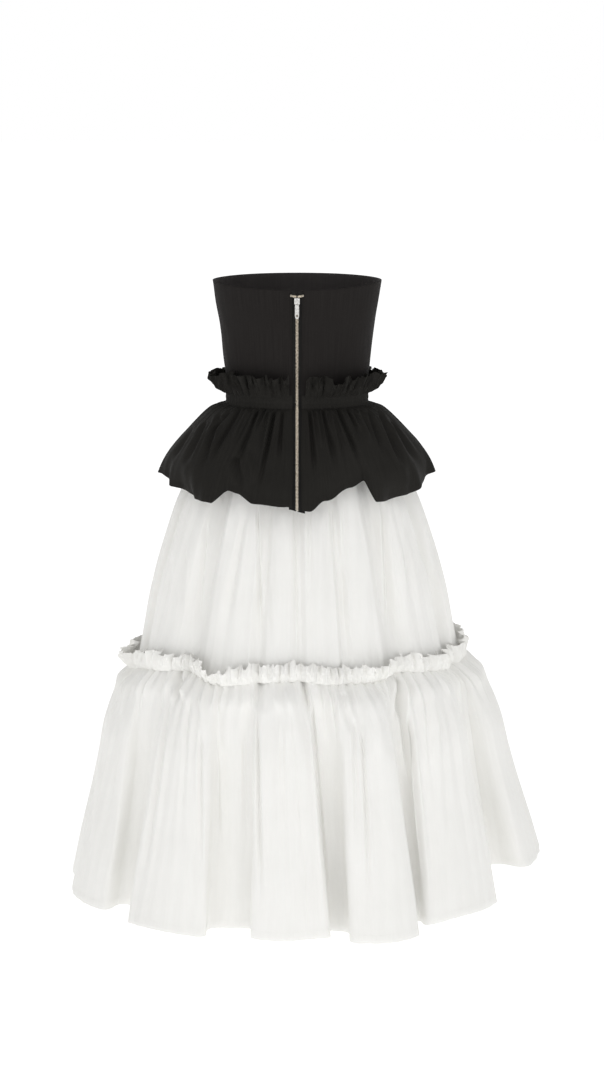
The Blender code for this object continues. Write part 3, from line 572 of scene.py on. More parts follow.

# %% [markdown]
# ## Ruffles
#
# A ruffle is the free edge of a gathered strip. The strip is far longer than the seam, so it can't
# lie flat: it stands in loops that swing from side to side and touch where they turn back, like a
# river's bends. Blender's cloth simulation was tried first. It let the loops fall over into flat
# flaps, which real crisp cloth doesn't do, so the strip comes from a formula instead. One bend is
# worked out once, from a slope that swings past upright. Every fold then has its own size, lean,
# height and small dents. The strip tips over by one angle at its seam and by another at its edge, so
# it can stand up, roll back or hang. The places where the photograph shows it puffed out or drooping
# are given one by one.


# %% A strip that stands in loops
def standing_loops(steepest):
    """One wave of a strip that stands in loops: along and out, for a steepest slope in radians."""
    phase = np.linspace(0, TURN, 721)
    slope = steepest * np.sin(phase)
    along, out = (np.concatenate([[0.0], np.cumsum((step[1:] + step[:-1]) / 2)])
                  for step in (np.cos(slope), np.sin(slope)))
    out = out - (out.max() + out.min()) / 2
    along = along - along[-1] * phase / TURN
    return phase, along / out.max(), out / out.max()


LOOPS = standing_loops(math.radians(98))


def loop_place(phase, column):
    """How far along (1) or out (2) a strip's loops swing at a phase, for loops that reach 1 out."""
    return np.interp(phase, LOOPS[0], LOOPS[column], period=TURN)


def fold_phase(angle, count, seed):
    """The phase of count uneven folds round the dress."""
    return count * angle + 1.9 * wander(angle, seed, 2, 9)


def per_fold(phase, count, seed):
    """A value from -1 to 1 of its own for each half wave, eased from one to the next."""
    values = np.random.default_rng(seed).uniform(-1, 1, 2 * count)
    place = phase / math.pi - 0.5
    fold = np.floor(place).astype(int)
    return mix(values[fold % (2 * count)], values[(fold + 1) % (2 * count)], smooth(place - fold))


print("a loop overhangs its foot by", round(float(LOOPS[1].max()), 3), "of its reach")


# %% Dents, places and the whole strip
def crumple(angle, share, seed, low, high, terms=16):
    """Small dents that lie every way, about -1 to 1, with low to high of them a turn."""
    rng = np.random.default_rng(seed)
    total = 0.0
    for _ in range(terms):
        turns, slant, shift = rng.integers(low, high), rng.uniform(-20, 20), rng.uniform(0, TURN)
        total = total + np.sin(turns * angle + slant * share + shift)
    return total / math.sqrt(terms)


def bumps(angle, table, column):
    """The sum of a table's bumps, whose first columns are their place and width in degrees."""
    degrees = np.degrees(signed(angle))
    return sum(row[column] * bell(degrees - row[0], row[1]) for row in table)


def summed(rate):
    """Running sum down the rows of values at their corners, from 0."""
    steps = np.cumsum((rate[1:] + rate[:-1]) / 2, axis=0)
    return np.concatenate([0 * steps[:1], steps])


def ruffle_strip(angle, share, places, count, seed, length, loop, lean, uneven):
    """A gathered strip standing over its seam: how far its points lie along, up and out, in metres.

    share runs from 0 at the seam to 1 at the edge, loop is how far the folds swing, and lean is how
    far the strip tips over at the seam and at the edge, in degrees. uneven is how much its height
    varies from fold to fold. places holds where the strip puffs out or hangs over: place and width,
    more lean at the seam and at the edge, all in degrees, and how smooth it is there.
    """
    phase = fold_phase(angle, count, seed)
    sway = phase + 1.3 * share * per_fold(phase, count, seed + 2)
    along, wave = loop_place(sway, 1), loop_place(sway, 2)
    loose = 1 - np.clip(bumps(angle, places, 4), 0, 1)
    crowding = np.gradient(phase[0]) / np.gradient(angle[0]) / count
    swing = loop / np.clip(crowding, 0.6, 1.8) * (1 + 0.40 * per_fold(phase, count, seed + 1)) * loose
    swing = swing * (1 - 0.55 * (1 - share) ** 2)
    foot = lean[0] + bumps(angle, places, 2) + 9 * per_fold(phase, count, seed + 3)
    edge = lean[1] + 8 * wave * loose + 20 * per_fold(phase, count, seed + 4)
    edge = edge + 9 * wander(angle, seed + 5, 3, 15) + bumps(angle, places, 3)
    tip = np.radians(np.clip(mix(foot, edge, share), -20, 150))
    step = length * (1 + uneven * per_fold(phase, count, seed + 6)) / (len(share) - 1)
    dent = (0.30 + 1.7 * uneven) * loop * np.sqrt(share)
    up = summed(np.cos(tip)) * step + 0.6 * dent * crumple(angle, share, seed + 7, count, 3 * count)
    out = summed(np.sin(tip)) * step + 0.8 * swing * (1.05 + wave)
    return -swing * along, up, out + dent * crumple(angle, share, seed + 8, count, 3 * count)


def ruffle_over(solid, points, cloth):
    """A ruffle's sheet, smoothed by one subdivision."""
    ruffle = sheet_over(solid, points, cloth, turned=True)
    finer = ruffle.modifiers.new("Finer", "SUBSURF")
    finer.levels = finer.render_levels = 1


# %% [markdown]
# The waist ruffle's strip is 41 mm wide. It leans out from the band's top, stands up towards its
# edge, and tips far out at both sides, where the photograph shows its tips beside the waist.

# %% Waist ruffle
WAIST_RUFFLE = dict(count=54, seed=31, length=41 * MM, loop=5.0 * MM, lean=(24, 2), uneven=0.12)
WAIST_PLACES = [
    (29, 7, 22, 38, 0), (48, 8, 15, 22, 0), (-90, 22, 44, -14, 0), (92, 20, 40, -14, 0),
    (-150, 9, 25, 50, 0.2), (135, 12, 20, 20, 0), (175, 12, 10, 15, 0),
]
RUFFLE_ROWS = np.linspace(0, 1, 13)[:, None]
RUFFLE_START = 0.105  # Radians from the centre back to its two ends.


def waist_ruffle_points(columns):
    angle = np.linspace(TURN - RUFFLE_START, RUFFLE_START, columns)[None, :]
    along, up, out = ruffle_strip(angle, RUFFLE_ROWS, WAIST_PLACES, **WAIST_RUFFLE)
    height = BAND_TOP_Z - 4.0 * MM + up
    return bodice_point(angle + along / WAIST_HALF, height, 4.4 * MM + np.maximum(out, 0))


ruffle_over("waist_ruffle", waist_ruffle_points(560), peplum_cloth)

# %% [markdown]
# ## Peplum
#
# The peplum is cut longer at its hem than at the waist and gathered onto the band as well, so it
# springs out in flutes. The flutes' places, reach and drop are read from the photograph for the
# back and carried on in the same uneven way round the front. Fine gathers run down from the band
# and die out, and a few go on as long creases. At the sides the hem tucks in under its flutes. It is
# turned up inside: the grid goes round the hem's edge and a little way up again.

# %% Shape of the peplum
# The peplum falls outward, so its rows go by the share of its cut length, with the height after it.
PEPLUM_OUTLINE = [
    (0, -0.0033, 0.131, 0.0935, 0.095), (0.12, -0.013, 0.1525, 0.104, 0.1075),
    (0.3, -0.04, 0.18, 0.129, 0.132), (0.5, -0.069, 0.204, 0.154, 0.156),
    (0.7, -0.098, 0.224, 0.175, 0.176), (0.85, -0.123, 0.237, 0.188, 0.188),
    (1, -0.149, 0.247, 0.198, 0.197),
]
# Rows: angle from the centre back in degrees, how far the hem stands out and how far it drops, in mm.
PEPLUM_FLUTES = [
    (-180, 6, 12), (-158, -12, -4), (-135, 14, 10), (-112, -8, -8), (-90, 8, -14), (-72, 2, 2),
    (-50, 12, 14), (-37, 8, 14), (-32, -16, -6), (-27, -14, -3), (-18, 4, 11), (-5, 6, 15), (5, 8, 23),
    (12, -4, 6), (24, -16, -14), (32, -22, -23), (36, 4, 14), (44, 10, 16), (56, 12, 10), (72, 0, -4),
    (90, 8, -18), (111, -8, -6), (133, 14, 10), (157, -10, -4), (180, 6, 12),
]
PEPLUM_LENGTH = 0.20


def flute(angle):
    """The peplum's reach and drop at its hem, eased from one flute to the next."""
    table = np.array(PEPLUM_FLUTES, float)
    degrees = np.degrees(signed(angle))
    i = np.clip(np.searchsorted(table[:, 0], degrees, side="right") - 1, 0, len(table) - 2)
    share = smooth((degrees - table[i, 0]) / (table[i + 1, 0] - table[i, 0]))
    return [mix(table[i, k], table[i + 1, k], share) * MM for k in (1, 2)]


def peplum_point(angle, share, extra=0.0):
    height, half_width, back, front = through(PEPLUM_OUTLINE, share)
    out, drop = flute(angle)
    grown = np.maximum(share, 0) ** 1.3
    return on_oval(angle, half_width, back, front, out * grown + extra, height - drop * grown)


def peplum_half(share, widening=0.6):
    """The peplum's half width beside the zip, which turns a distance there into an angle."""
    return mix(0.130, 0.245, smooth(share / widening))


def outward(surface, across, down, step=1e-4):
    """The unit normal of a surface function, on its outer side."""
    along = surface(across + step, down) - surface(across - step, down)
    fall = surface(across, down + step) - surface(across, down - step)
    normal = np.cross(fall, along)
    return normal / np.linalg.norm(normal, axis=-1, keepdims=True)


print("flutes round the hem:", len(PEPLUM_FLUTES) // 2)

# %% Creases of the peplum
# Those that the photograph shows, in its pixels.
PEPLUM_CREASES = [
    (222, 412, 199, 474, 5, 2.2), (243, 405, 208, 464, 5.5, 2), (252, 405, 228, 446, -4, 2.2),
    (261, 405, 232, 474, 5.5, 2.1), (272, 408, 262, 456, -3.5, 1.8), (276, 406, 258, 494, 4.5, 1.7),
    (283, 408, 278, 466, 4, 1.6), (248, 450, 254, 486, -3, 3.5), (236, 455, 240, 492, 4, 3),
    (309, 406, 316, 482, 4.8, 1.8), (315, 406, 322, 450, -3.5, 1.6), (321, 405, 336, 468, 5, 1.8),
    (329, 408, 342, 466, -3.5, 2), (335, 405, 362, 468, 5.5, 2), (345, 406, 360, 436, 4, 1.5),
    (354, 406, 372, 446, -3.5, 1.9), (366, 408, 384, 455, 4.5, 1.8), (376, 408, 404, 470, 5.5, 2.2),
    (388, 418, 418, 466, 4, 1.8), (232, 410, 206, 440, 3.5, 1.6), (208, 420, 184, 468, 4, 2),
    (196, 424, 172, 462, 3.5, 1.8), (268, 405, 250, 440, 3, 1.3), (302, 408, 305, 470, 3, 1.5),
]
# Similar ones on the front: metres from the centre front round the hips and down the cloth.
PEPLUM_CREASES_FRONT = [
    (-0.235, 0.004, -0.262, 0.120, 4.5, 5), (-0.205, 0, -0.222, 0.175, 5.5, 5),
    (-0.178, 0, -0.186, 0.090, 4, 4), (-0.150, 0, -0.166, 0.185, 6, 5),
    (-0.124, 0, -0.130, 0.085, -3.5, 4), (-0.098, 0, -0.108, 0.150, 5, 4.5),
    (-0.070, 0, -0.072, 0.185, 5.5, 5), (-0.046, 0, -0.050, 0.080, 4, 4),
    (-0.022, 0, -0.020, 0.140, 5, 4.5), (0.004, 0, 0.008, 0.175, 4.5, 5),
    (0.028, 0, 0.032, 0.085, -3.5, 4), (0.052, 0, 0.060, 0.165, 5.5, 5), (0.080, 0, 0.086, 0.105, 4, 4),
    (0.104, 0, 0.116, 0.185, 6, 5), (0.134, 0, 0.142, 0.085, 3.5, 4), (0.160, 0, 0.178, 0.170, 5.5, 5),
    (0.190, 0, 0.200, 0.095, -3.5, 4), (0.214, 0, 0.238, 0.180, 5.5, 5.5),
    (0.240, 0.004, 0.262, 0.120, 4.5, 5),
]
# Rows: place and width in degrees, and how far the hem there tucks in under the flute, in mm.
PEPLUM_TUCKS = [
    (-58, 12, 34), (-82, 8, 14), (50, 13, 32), (80, 8, 14), (-128, 13, 26), (124, 13, 28),
    (165, 12, 18), (-165, 10, 16),
]


def peplum_relief(angle, share):
    """Gathers under the band, then a few that run on as long folds, then a slight hem wave."""
    calm = smooth((np.abs(signed(angle)) - 0.045) / 0.10)
    fine = 4.2 * MM * (0.5 + 0.5 * gathers(angle, share, count=92, seed=41, reach=0.16))
    long = 6.0 * MM * (0.45 + 0.55 * gathers(angle, share, count=36, seed=44, reach=0.60))
    long = long * (0.25 + 0.75 * smooth(-np.cos(angle) / 0.2 + 0.5))
    rise = smooth(share / 0.05 + 0.25)
    hem = 2.6 * MM * wander(angle, seed=47, low=18, high=44) * smooth((share - 0.55) / 0.45)
    seen = seen_creases(peplum_point(angle, share), PEPLUM_CREASES)
    from_front = (np.mod(angle, TURN) - math.pi) * HIP_HALF
    hidden = hidden_creases(from_front, share * PEPLUM_LENGTH, PEPLUM_CREASES_FRONT, angle)
    tuck = MM * bumps(angle, PEPLUM_TUCKS, 2) * (np.maximum(share - 0.70, 0) / 0.30) ** 1.7
    return ((fine + long) * rise + hem + 1.7 * seen + 1.3 * hidden) * calm - tuck


def peplum_turn(angle, share, across):
    """How far the folds turn sideways on their way down, less near a panel's edges."""
    turn = 0.016 * wander(angle, seed=48, low=9, high=21) * smooth(share) ** 2
    return turn * smooth(np.minimum(across, 1 - across) / 0.08)


print("creases on the peplum:", len(PEPLUM_CREASES), "seen and", len(PEPLUM_CREASES_FRONT), "in front")


# %% Peplum panels
PEPLUM_ROWS = 56
GATHERED_IN = 1.12  # The cut width against the hem's, for what the gathers take in.


def panel_angles(side, opening, columns):
    """Shares and angles across a back panel, from the zip's side, or across the whole front."""
    across = np.linspace(0, 1, columns + 1)[None, :]
    if side:
        start, end = (opening, QUARTER) if side > 0 else (-QUARTER, -opening)
    else:
        start, end = QUARTER, 3 * QUARTER
    return across, mix(start, end, across)


def peplum_panel(name, side, columns):
    down, inside = turned_up(PEPLUM_ROWS, 1.0, [1.003, 1.0, 0.965, 0.93], [0.5, 1.0, 1.1, 1.1])
    across, angle = panel_angles(side, ZIP_OPENING / peplum_half(down), columns)
    turned = angle + peplum_turn(angle, down, across)
    points = peplum_point(turned, down, peplum_relief(angle, np.minimum(down, 1)))
    points = points - outward(peplum_point, turned, down) * inside[..., None]
    piece = sheet_over(f"peplum_{name}", points, peplum_cloth)
    hem = float(run_along(points[PEPLUM_ROWS - 1])[-1])
    size = (hem * GATHERED_IN, PEPLUM_LENGTH)
    return size


cut_panels("peplum", peplum_panel, [("back_left", -1, 240), ("back_right", 1, 240), ("front", 0, 480)])

# %% [markdown]
# ## Folds of the two tiers
#
# Both tiers hang in long soft folds. Each row of a table is one fold: a broad face from one angle to
# another and a recess after it. A closed line is drawn through them once, and every row of a tier's
# grid reads its reach from that line, more and more of it towards the hem. The seam of the tiers is
# drawn up and let down unevenly by its gathers, as the photograph shows.

# %% Folds of the tiers
# Rows: start and end of a fold's face in degrees, how far the face and the recess after it lie out
# of the mean outline, and how far the hem lifts under the face, in millimetres.
UPPER_FOLDS = [
    (-178, -166, 8, -6, 0), (-152, -136, 7, -8, 0), (-124, -110, 9, -5, 0), (-100, -82, 14, -6, 0),
    (-74, -50, 8, -13, 0), (-34, -18, 7, -6, 0), (-11, -3, 5, -6, 0), (4, 15, 7, -4, 0),
    (21, 31, 8, -13, 0), (47, 66, 9, -8, 0), (78, 100, 16, -6, 0), (110, 126, 8, -7, 0),
    (137, 151, 8, -5, 0), (160, 173, 7, -6, 0),
]
LOWER_FOLDS = [
    (-175, -160, 32, -28, 4), (-148, -134, 40, -30, 8), (-122, -108, 34, -26, 2),
    (-95, -83, 32, -14, 8), (-75, -57, 45, -18, 0), (-43, -25, 48, -16, -2), (-9, 6, 36, -38, 0),
    (15, 28, 58, -32, -6), (36, 59, 34, -26, 4), (74, 100, 60, -28, 52), (108, 120, 38, -28, 10),
    (128, 142, 34, -30, 0), (155, 172, 42, -24, 6),
]
CROWN_MM = 6.0


def fold_line(folds, flank_degrees, overhang, shallow):
    """A closed line through the folds: arrays of angle, reach and lift.

    overhang pushes the middle of each flank sideways, so that a face's edges roll over its recess,
    and shallow is the share of its depth that a recess keeps.
    """
    line = []
    for i, (start, end, face, recess, lift) in enumerate(folds):
        later = folds[(i + 1) % len(folds)]
        next_start = later[0] + (360 if i == len(folds) - 1 else 0)
        recess, gap = recess * shallow, next_start - end
        flank = min(flank_degrees, gap / 2.6)
        t = np.arange(40) / 40
        crown = CROWN_MM * (1 - (2 * t - 1) ** 2) * face / 40
        line.append([mix(start, end, t), face + crown, 0 * t + lift])
        for first, last, reach, later_reach, swing, count in (
            (end, end + flank, face, recess, overhang * flank, 40),
            (end + flank, next_start - flank, recess, recess, 0.0, 20),
            (next_start - flank, next_start, recess, later[2], overhang * flank, 40),
        ):
            t = np.arange(count) / count
            angle = mix(first, last, t)
            lifted = mix(lift, later[4], smooth((angle - end) / gap))
            line.append([angle + swing * np.sin(TURN * t), mix(reach, later_reach, smooth(t)), lifted])
    degrees, reach, lift = np.concatenate(line, axis=1)
    return np.radians(degrees), reach * MM, lift * MM


UPPER_LINE = fold_line(UPPER_FOLDS, 6.5, 0.0, 1.0)
LOWER_LINE = fold_line(LOWER_FOLDS, 3.6, 0.40, 0.5)
print("folds:", len(UPPER_FOLDS), "in the upper tier and", len(LOWER_FOLDS), "in the lower")

# %% The seam of the tiers
# Rows: degrees round the dress, and how far the seam of the tiers lies above its mean line, in mm.
SEAM_RISE = [
    (-180, 6), (-150, -2), (-120, -4), (-98, -12), (-82, -10), (-68, 4), (-50, 19), (-40, 21), (-28, 7),
    (-18, 13), (-5, 18), (4, 17), (14, 9), (28, 8), (38, 14), (52, 5), (68, -5), (84, -7), (100, 3),
    (120, 7), (150, -2), (180, 6),
]


def upper_fold(angle):
    return np.interp(angle, UPPER_LINE[0], UPPER_LINE[1], period=TURN)


def seam_tilt(angle):
    rise = through(SEAM_RISE, np.degrees(signed(angle)))[0] * MM
    return 0.007 * np.sin(angle) - 0.006 * np.cos(angle) + rise


print("seam over its mean height at the back:", round(float(seam_tilt(0.0)) / MM, 1), "mm")

# %% [markdown]
# ## Upper tier
#
# The upper tier is gathered into the waist under the peplum and widens to the tier seam. The creases
# that the photograph shows are drawn over its folds as narrow troughs, and the cloth puckers again
# where the lower tier is sewn on. The centre back seam is left open under the zip.

# %% Upper tier
UPPER_OUTLINE = [
    (-0.481, 0.292, 0.268, 0.26), (-0.447, 0.283, 0.257, 0.249), (-0.4, 0.271, 0.241, 0.233),
    (-0.343, 0.257, 0.224, 0.216), (-0.287, 0.242, 0.206, 0.199), (-0.231, 0.224, 0.186, 0.18),
    (-0.175, 0.206, 0.165, 0.16), (-0.1, 0.176, 0.136, 0.133), (-0.05, 0.15, 0.113, 0.112),
    (-0.015, 0.1297, 0.0917, 0.0932), (0.006, 0.1271, 0.0896, 0.0911),
]
# Creases that the photograph shows, in its pixels.
UPPER_CREASES_SEEN = [
    (206, 515, 197, 662, 4, 2.2), (246, 508, 222, 645, 3.5, 3), (257, 500, 262, 662, 4.5, 1.4),
    (294, 500, 297, 670, 2.4, 1.2), (345, 495, 343, 655, 3, 2.6), (383, 495, 392, 672, 8, 3),
    (404, 510, 414, 655, 3.5, 3), (431, 530, 441, 645, 3.5, 3.5), (172, 550, 158, 655, 3, 3),
    (322, 505, 318, 640, -3, 4.5), (276, 510, 279, 660, -2.5, 4.5), (366, 500, 370, 650, -3.5, 4.5),
    (232, 500, 212, 650, -3, 5), (186, 530, 178, 640, 2.6, 2.4), (309, 500, 311, 600, 2.2, 1.8),
    (332, 505, 332, 580, 2, 1.6), (422, 520, 428, 600, -2.5, 3), (267, 560, 270, 640, 2, 1.8),
]
# Similar ones on the front: metres round from the centre back and height, at the top and at the foot.
UPPER_CREASES_FRONT = [
    (0.400, -0.12, 0.392, -0.44, 3, 6), (0.452, -0.14, 0.462, -0.48, 4.5, 5),
    (0.505, -0.15, 0.492, -0.47, -3, 9), (0.560, -0.11, 0.556, -0.43, 2.8, 5),
    (0.612, -0.15, 0.622, -0.48, 6.5, 6), (0.660, -0.13, 0.668, -0.46, -3, 9),
    (0.712, -0.14, 0.706, -0.47, 3.6, 5), (-0.398, -0.13, -0.406, -0.46, 3.2, 6),
    (-0.448, -0.15, -0.440, -0.47, 5, 5), (-0.500, -0.12, -0.512, -0.45, -3, 9),
    (-0.552, -0.14, -0.548, -0.48, 3.4, 5), (-0.604, -0.13, -0.592, -0.47, 6, 6),
    (-0.655, -0.15, -0.662, -0.45, -2.8, 9), (-0.708, -0.12, -0.700, -0.46, 3.8, 5),
]
UPPER_LENGTH, UPPER_ROWS, FOOT_ROW = 0.53, 80, -12


def upper_point(angle, height, out=0.0):
    half_width, back, front = through(UPPER_OUTLINE, height)
    share = (SKIRT_TOP_Z - height) / (SKIRT_TOP_Z - TIER_SEAM_Z)
    gathered = gathers(angle, SKIRT_TOP_Z - height, count=52, seed=51, reach=0.09)
    gathered = 1.5 * MM * (gathered - 1) * bell(np.maximum(share, 0), 0.25)
    pucker = 1.6 * MM * gathers(angle, height - TIER_SEAM_Z, count=118, seed=54, reach=0.035)
    grown = smooth(share / 0.5) * mix(1.0, 0.6, smooth((share - 0.7) / 0.3))
    ripple = gathers(angle + 0.06 * share, 0 * height, count=46, seed=57, reach=1.0, sharp=0.8)
    ripple = 2.0 * MM * ripple * smooth(share / 0.4)
    tilted = height + seam_tilt(angle) * share**2
    folds = upper_fold(angle) * grown + gathered
    seen = seen_creases(on_oval(angle, half_width, back, front, folds, tilted), UPPER_CREASES_SEEN)
    hidden = hidden_creases(signed(angle) * UPPER_HALF, height, UPPER_CREASES_FRONT, angle)
    total = folds + pucker + ripple + seen + hidden + out
    return on_oval(angle, half_width, back, front, total, tilted)


def upper_panel(name, side, columns):
    height = mix(SKIRT_TOP_Z, TIER_SEAM_Z, np.linspace(0, 1, UPPER_ROWS) ** 1.1)[:, None]
    slit = 15 * MM * smooth((height + 0.16) / 0.15) / through(UPPER_OUTLINE, height)[0]
    across, angle = panel_angles(side, slit, columns)
    dip = seam_dip(across, 0.40 if side else 0.80, 0.003) * (height > -0.47)
    points = upper_point(angle, height, dip)
    piece = sheet_over(f"upper_tier_{name}", points, ivory_cloth)
    size = (float(run_along(points[FOOT_ROW])[-1]), UPPER_LENGTH)
    return size


UPPER_PANELS = [("back_left", -1, 300), ("back_right", 1, 300), ("front", 0, 580)]
cut_panels("upper tier", upper_panel, UPPER_PANELS)

# %% [markdown]
# ## Tier ruffle
#
# The lower tier is gathered a few centimetres below its top edge, and that free edge stands over
# the seam as a ruffle, as at the waist but with almost twice as many folds. It leans out there and
# rolls back onto the upper tier, so its points come from the upper tier's own, moved out. The lower
# tier below the seam is the same strip, so both use the same uneven folds.

# %% Tier ruffle
TIER_RUFFLE = dict(count=104, seed=61, length=37 * MM, loop=4.6 * MM, lean=(44, -22), uneven=0.17)
TIER_PLACES = [
    (-29, 5, 20, 45, 0.80), (-84, 13, 20, 52, 0), (24, 6, 10, 22, 0.10), (36, 4, 6, 16, 0),
    (96, 13, -8, 26, 0), (-118, 6, 8, 30, 0.40), (-145, 6, 10, 50, 0.70), (172, 6, 15, 40, 0.30),
    (128, 6, 8, 40, 0.50),
]


def tier_ruffle_points(start, columns=780):
    angle = np.linspace(start + math.pi, start, columns)[None, :]
    along, up, out = ruffle_strip(angle, RUFFLE_ROWS, TIER_PLACES, **TIER_RUFFLE)
    seams = smooth(np.minimum(angle - start, start + math.pi - angle) / 0.02)
    height = TIER_SEAM_Z + 0.6 * MM + up
    return upper_point(angle + along * seams / TIER_HALF, height, 3.0 * MM + np.maximum(out, 0))


for name, start, beside in (("back", -QUARTER, "upper_tier_back_left_cloth"),
                            ("front", QUARTER, "upper_tier_front_cloth")):
    ruffle_over(f"tier_ruffle_{name}", tier_ruffle_points(start), ivory_cloth)

# %% [markdown]
# ## Lower tier
#
# The lower tier is a straight strip, a little more than twice as wide as the seam it is gathered
# into. At the seam it puffs out in many small gathers. They merge on the way down, and at the hem
# the cloth stands in deep organ folds whose edges roll over the recesses between them. A thread of
# the cloth runs straight down, so a point keeps its share of the width: it starts at that share of
# the seam and ends at that share of the hem. The hem is turned up inside, as on the peplum.

# %% The hem's folds
LOWER_OUTLINE = [
    (-0.904, 0.39, 0.36, 0.348), (-0.83, 0.378, 0.348, 0.337), (-0.772, 0.367, 0.338, 0.328),
    (-0.714, 0.356, 0.328, 0.318), (-0.657, 0.347, 0.319, 0.31), (-0.599, 0.34, 0.311, 0.303),
    (-0.57, 0.334, 0.305, 0.297), (-0.541, 0.326, 0.298, 0.29), (-0.513, 0.315, 0.288, 0.28),
    (-0.481, 0.292, 0.268, 0.26),
]

angle_line, out_line, lift_line = LOWER_LINE
hem_places = on_oval(angle_line, *LOWER_OUTLINE[0][1:], out_line, 0.0)
run = run_along(np.concatenate([hem_places, hem_places[:1]]))
HEM_LENGTH = float(run[-1])
# Shares of the strip's width are counted from the centre front, where the last turn of the line ends.
CENTRE_FRONT_RUN = float(run[np.argmax(angle_line >= math.pi)]) - HEM_LENGTH


def hem_fold(share):
    """Angle, reach and lift of the hem's folds at a share of the cut width from the centre front."""
    place, mean_turn = share * HEM_LENGTH + CENTRE_FRONT_RUN, TURN / HEM_LENGTH
    ahead, out, lift = (np.interp(place, run[:-1], values, period=HEM_LENGTH)
                        for values in (angle_line - run[:-1] * mean_turn, out_line, lift_line))
    return ahead + place * mean_turn, out, lift


def share_at(degrees):
    """The share of the cut width that hangs at an angle of the hem."""
    place = run[np.argmin(np.abs(angle_line - math.radians(degrees)))]
    return float(place - CENTRE_FRONT_RUN) / HEM_LENGTH % 1.0


FRONT_SEAM, LEFT_SEAM, BACK_SEAM, RIGHT_SEAM = [share_at(d) for d in (-173.4, -84.0, 2.7, 95.9)]
LOWER_PANELS = [
    ("back_left", LEFT_SEAM, BACK_SEAM), ("back_right", BACK_SEAM, RIGHT_SEAM),
    ("front_right", RIGHT_SEAM, 1 + FRONT_SEAM), ("front_left", FRONT_SEAM, LEFT_SEAM),
]
print("hem", round(HEM_LENGTH, 3), "m round; seams at shares of it:",
      [round(row[1], 3) for row in LOWER_PANELS])

# %% Lower tier
# The cloth is cut longer than it hangs, for its puffs.
LOWER_LENGTH, LOWER_CUT_LENGTH, LOWER_ROWS, LOWER_COLUMNS = 0.42, 0.45, 90, 1440
# Creases that the photograph shows, in its pixels: first the pockets and puffs under the seam, then
# the long ones.
LOWER_CREASES_SEEN = [
    (181, 660, 180, 708, 15, 3.2), (262, 674, 262, 716, 13, 6), (303, 672, 308, 716, 9, 3.8),
    (396, 674, 401, 725, 15, 3.2), (342, 690, 352, 735, 9, 3), (150, 664, 144, 745, -4, 8),
    (228, 688, 228, 770, -5, 9), (288, 682, 290, 755, -4, 8), (328, 684, 330, 755, -4, 6.5),
    (374, 684, 378, 765, -5, 8), (430, 664, 434, 745, -4, 9), (204, 680, 203, 750, -4, 6),
    (170, 690, 139, 915, 5, 2.4), (200, 720, 201, 905, 4, 2), (257, 706, 261, 920, 7, 1.8),
    (311, 690, 329, 925, 6, 1.7), (354, 715, 358, 850, 4.5, 2.2), (362, 715, 372, 930, 5, 1.8),
    (399, 700, 412, 800, 6, 1.8), (408, 705, 428, 930, 7, 2.2), (464, 672, 500, 900, 6, 2.4),
    (120, 690, 104, 885, 3.5, 4.5), (232, 740, 230, 900, -3, 5), (216, 730, 218, 860, 3.5, 2.2),
    (282, 720, 284, 900, 2.5, 2.4), (296, 740, 300, 880, -2.5, 4), (340, 740, 346, 900, 3, 2.4),
    (388, 740, 398, 900, -3, 5), (440, 700, 452, 880, 3.5, 3.2), (424, 690, 434, 800, 3, 2.2),
    (452, 690, 474, 860, -3, 5), (482, 700, 512, 850, 3, 3), (140, 690, 122, 840, 3, 3),
    (244, 730, 246, 860, 3, 2), (188, 715, 178, 860, 3, 2.4), (96, 760, 84, 890, 3, 3),
]
# Similar ones on both sides of the front: metres of hem from the centre front, share downwards, how
# far the foot leans, share downwards there, depth in millimetres and width in millimetres.
LOWER_CREASES_FRONT = [
    (side * x, top * LOWER_LENGTH, side * x + lean, foot * LOWER_LENGTH, depth, width)
    for side in (-1, 1)
    for x, top, lean, foot, depth, width in (
        (0.03, 0.00, 0.020, 0.13, 3, 9), (0.10, 0.00, 0.000, 0.22, -5, 14),
        (0.16, 0.00, 0.010, 0.95, 6, 5), (0.24, 0.05, -0.020, 0.90, 3, 6),
        (0.31, 0.00, 0.000, 0.14, 10, 8), (0.36, 0.02, 0.015, 0.85, 6, 4),
        (0.44, 0.00, 0.000, 0.24, -5, 15), (0.52, 0.05, 0.020, 0.80, 3, 6),
        (0.58, 0.00, 0.010, 0.92, 6, 5), (0.66, 0.00, 0.000, 0.13, 10, 8),
        (0.74, 0.03, -0.020, 0.85, 4, 6), (0.82, 0.00, 0.000, 0.22, -4.5, 14),
        (0.90, 0.00, 0.015, 0.95, 6, 5),
    )
]


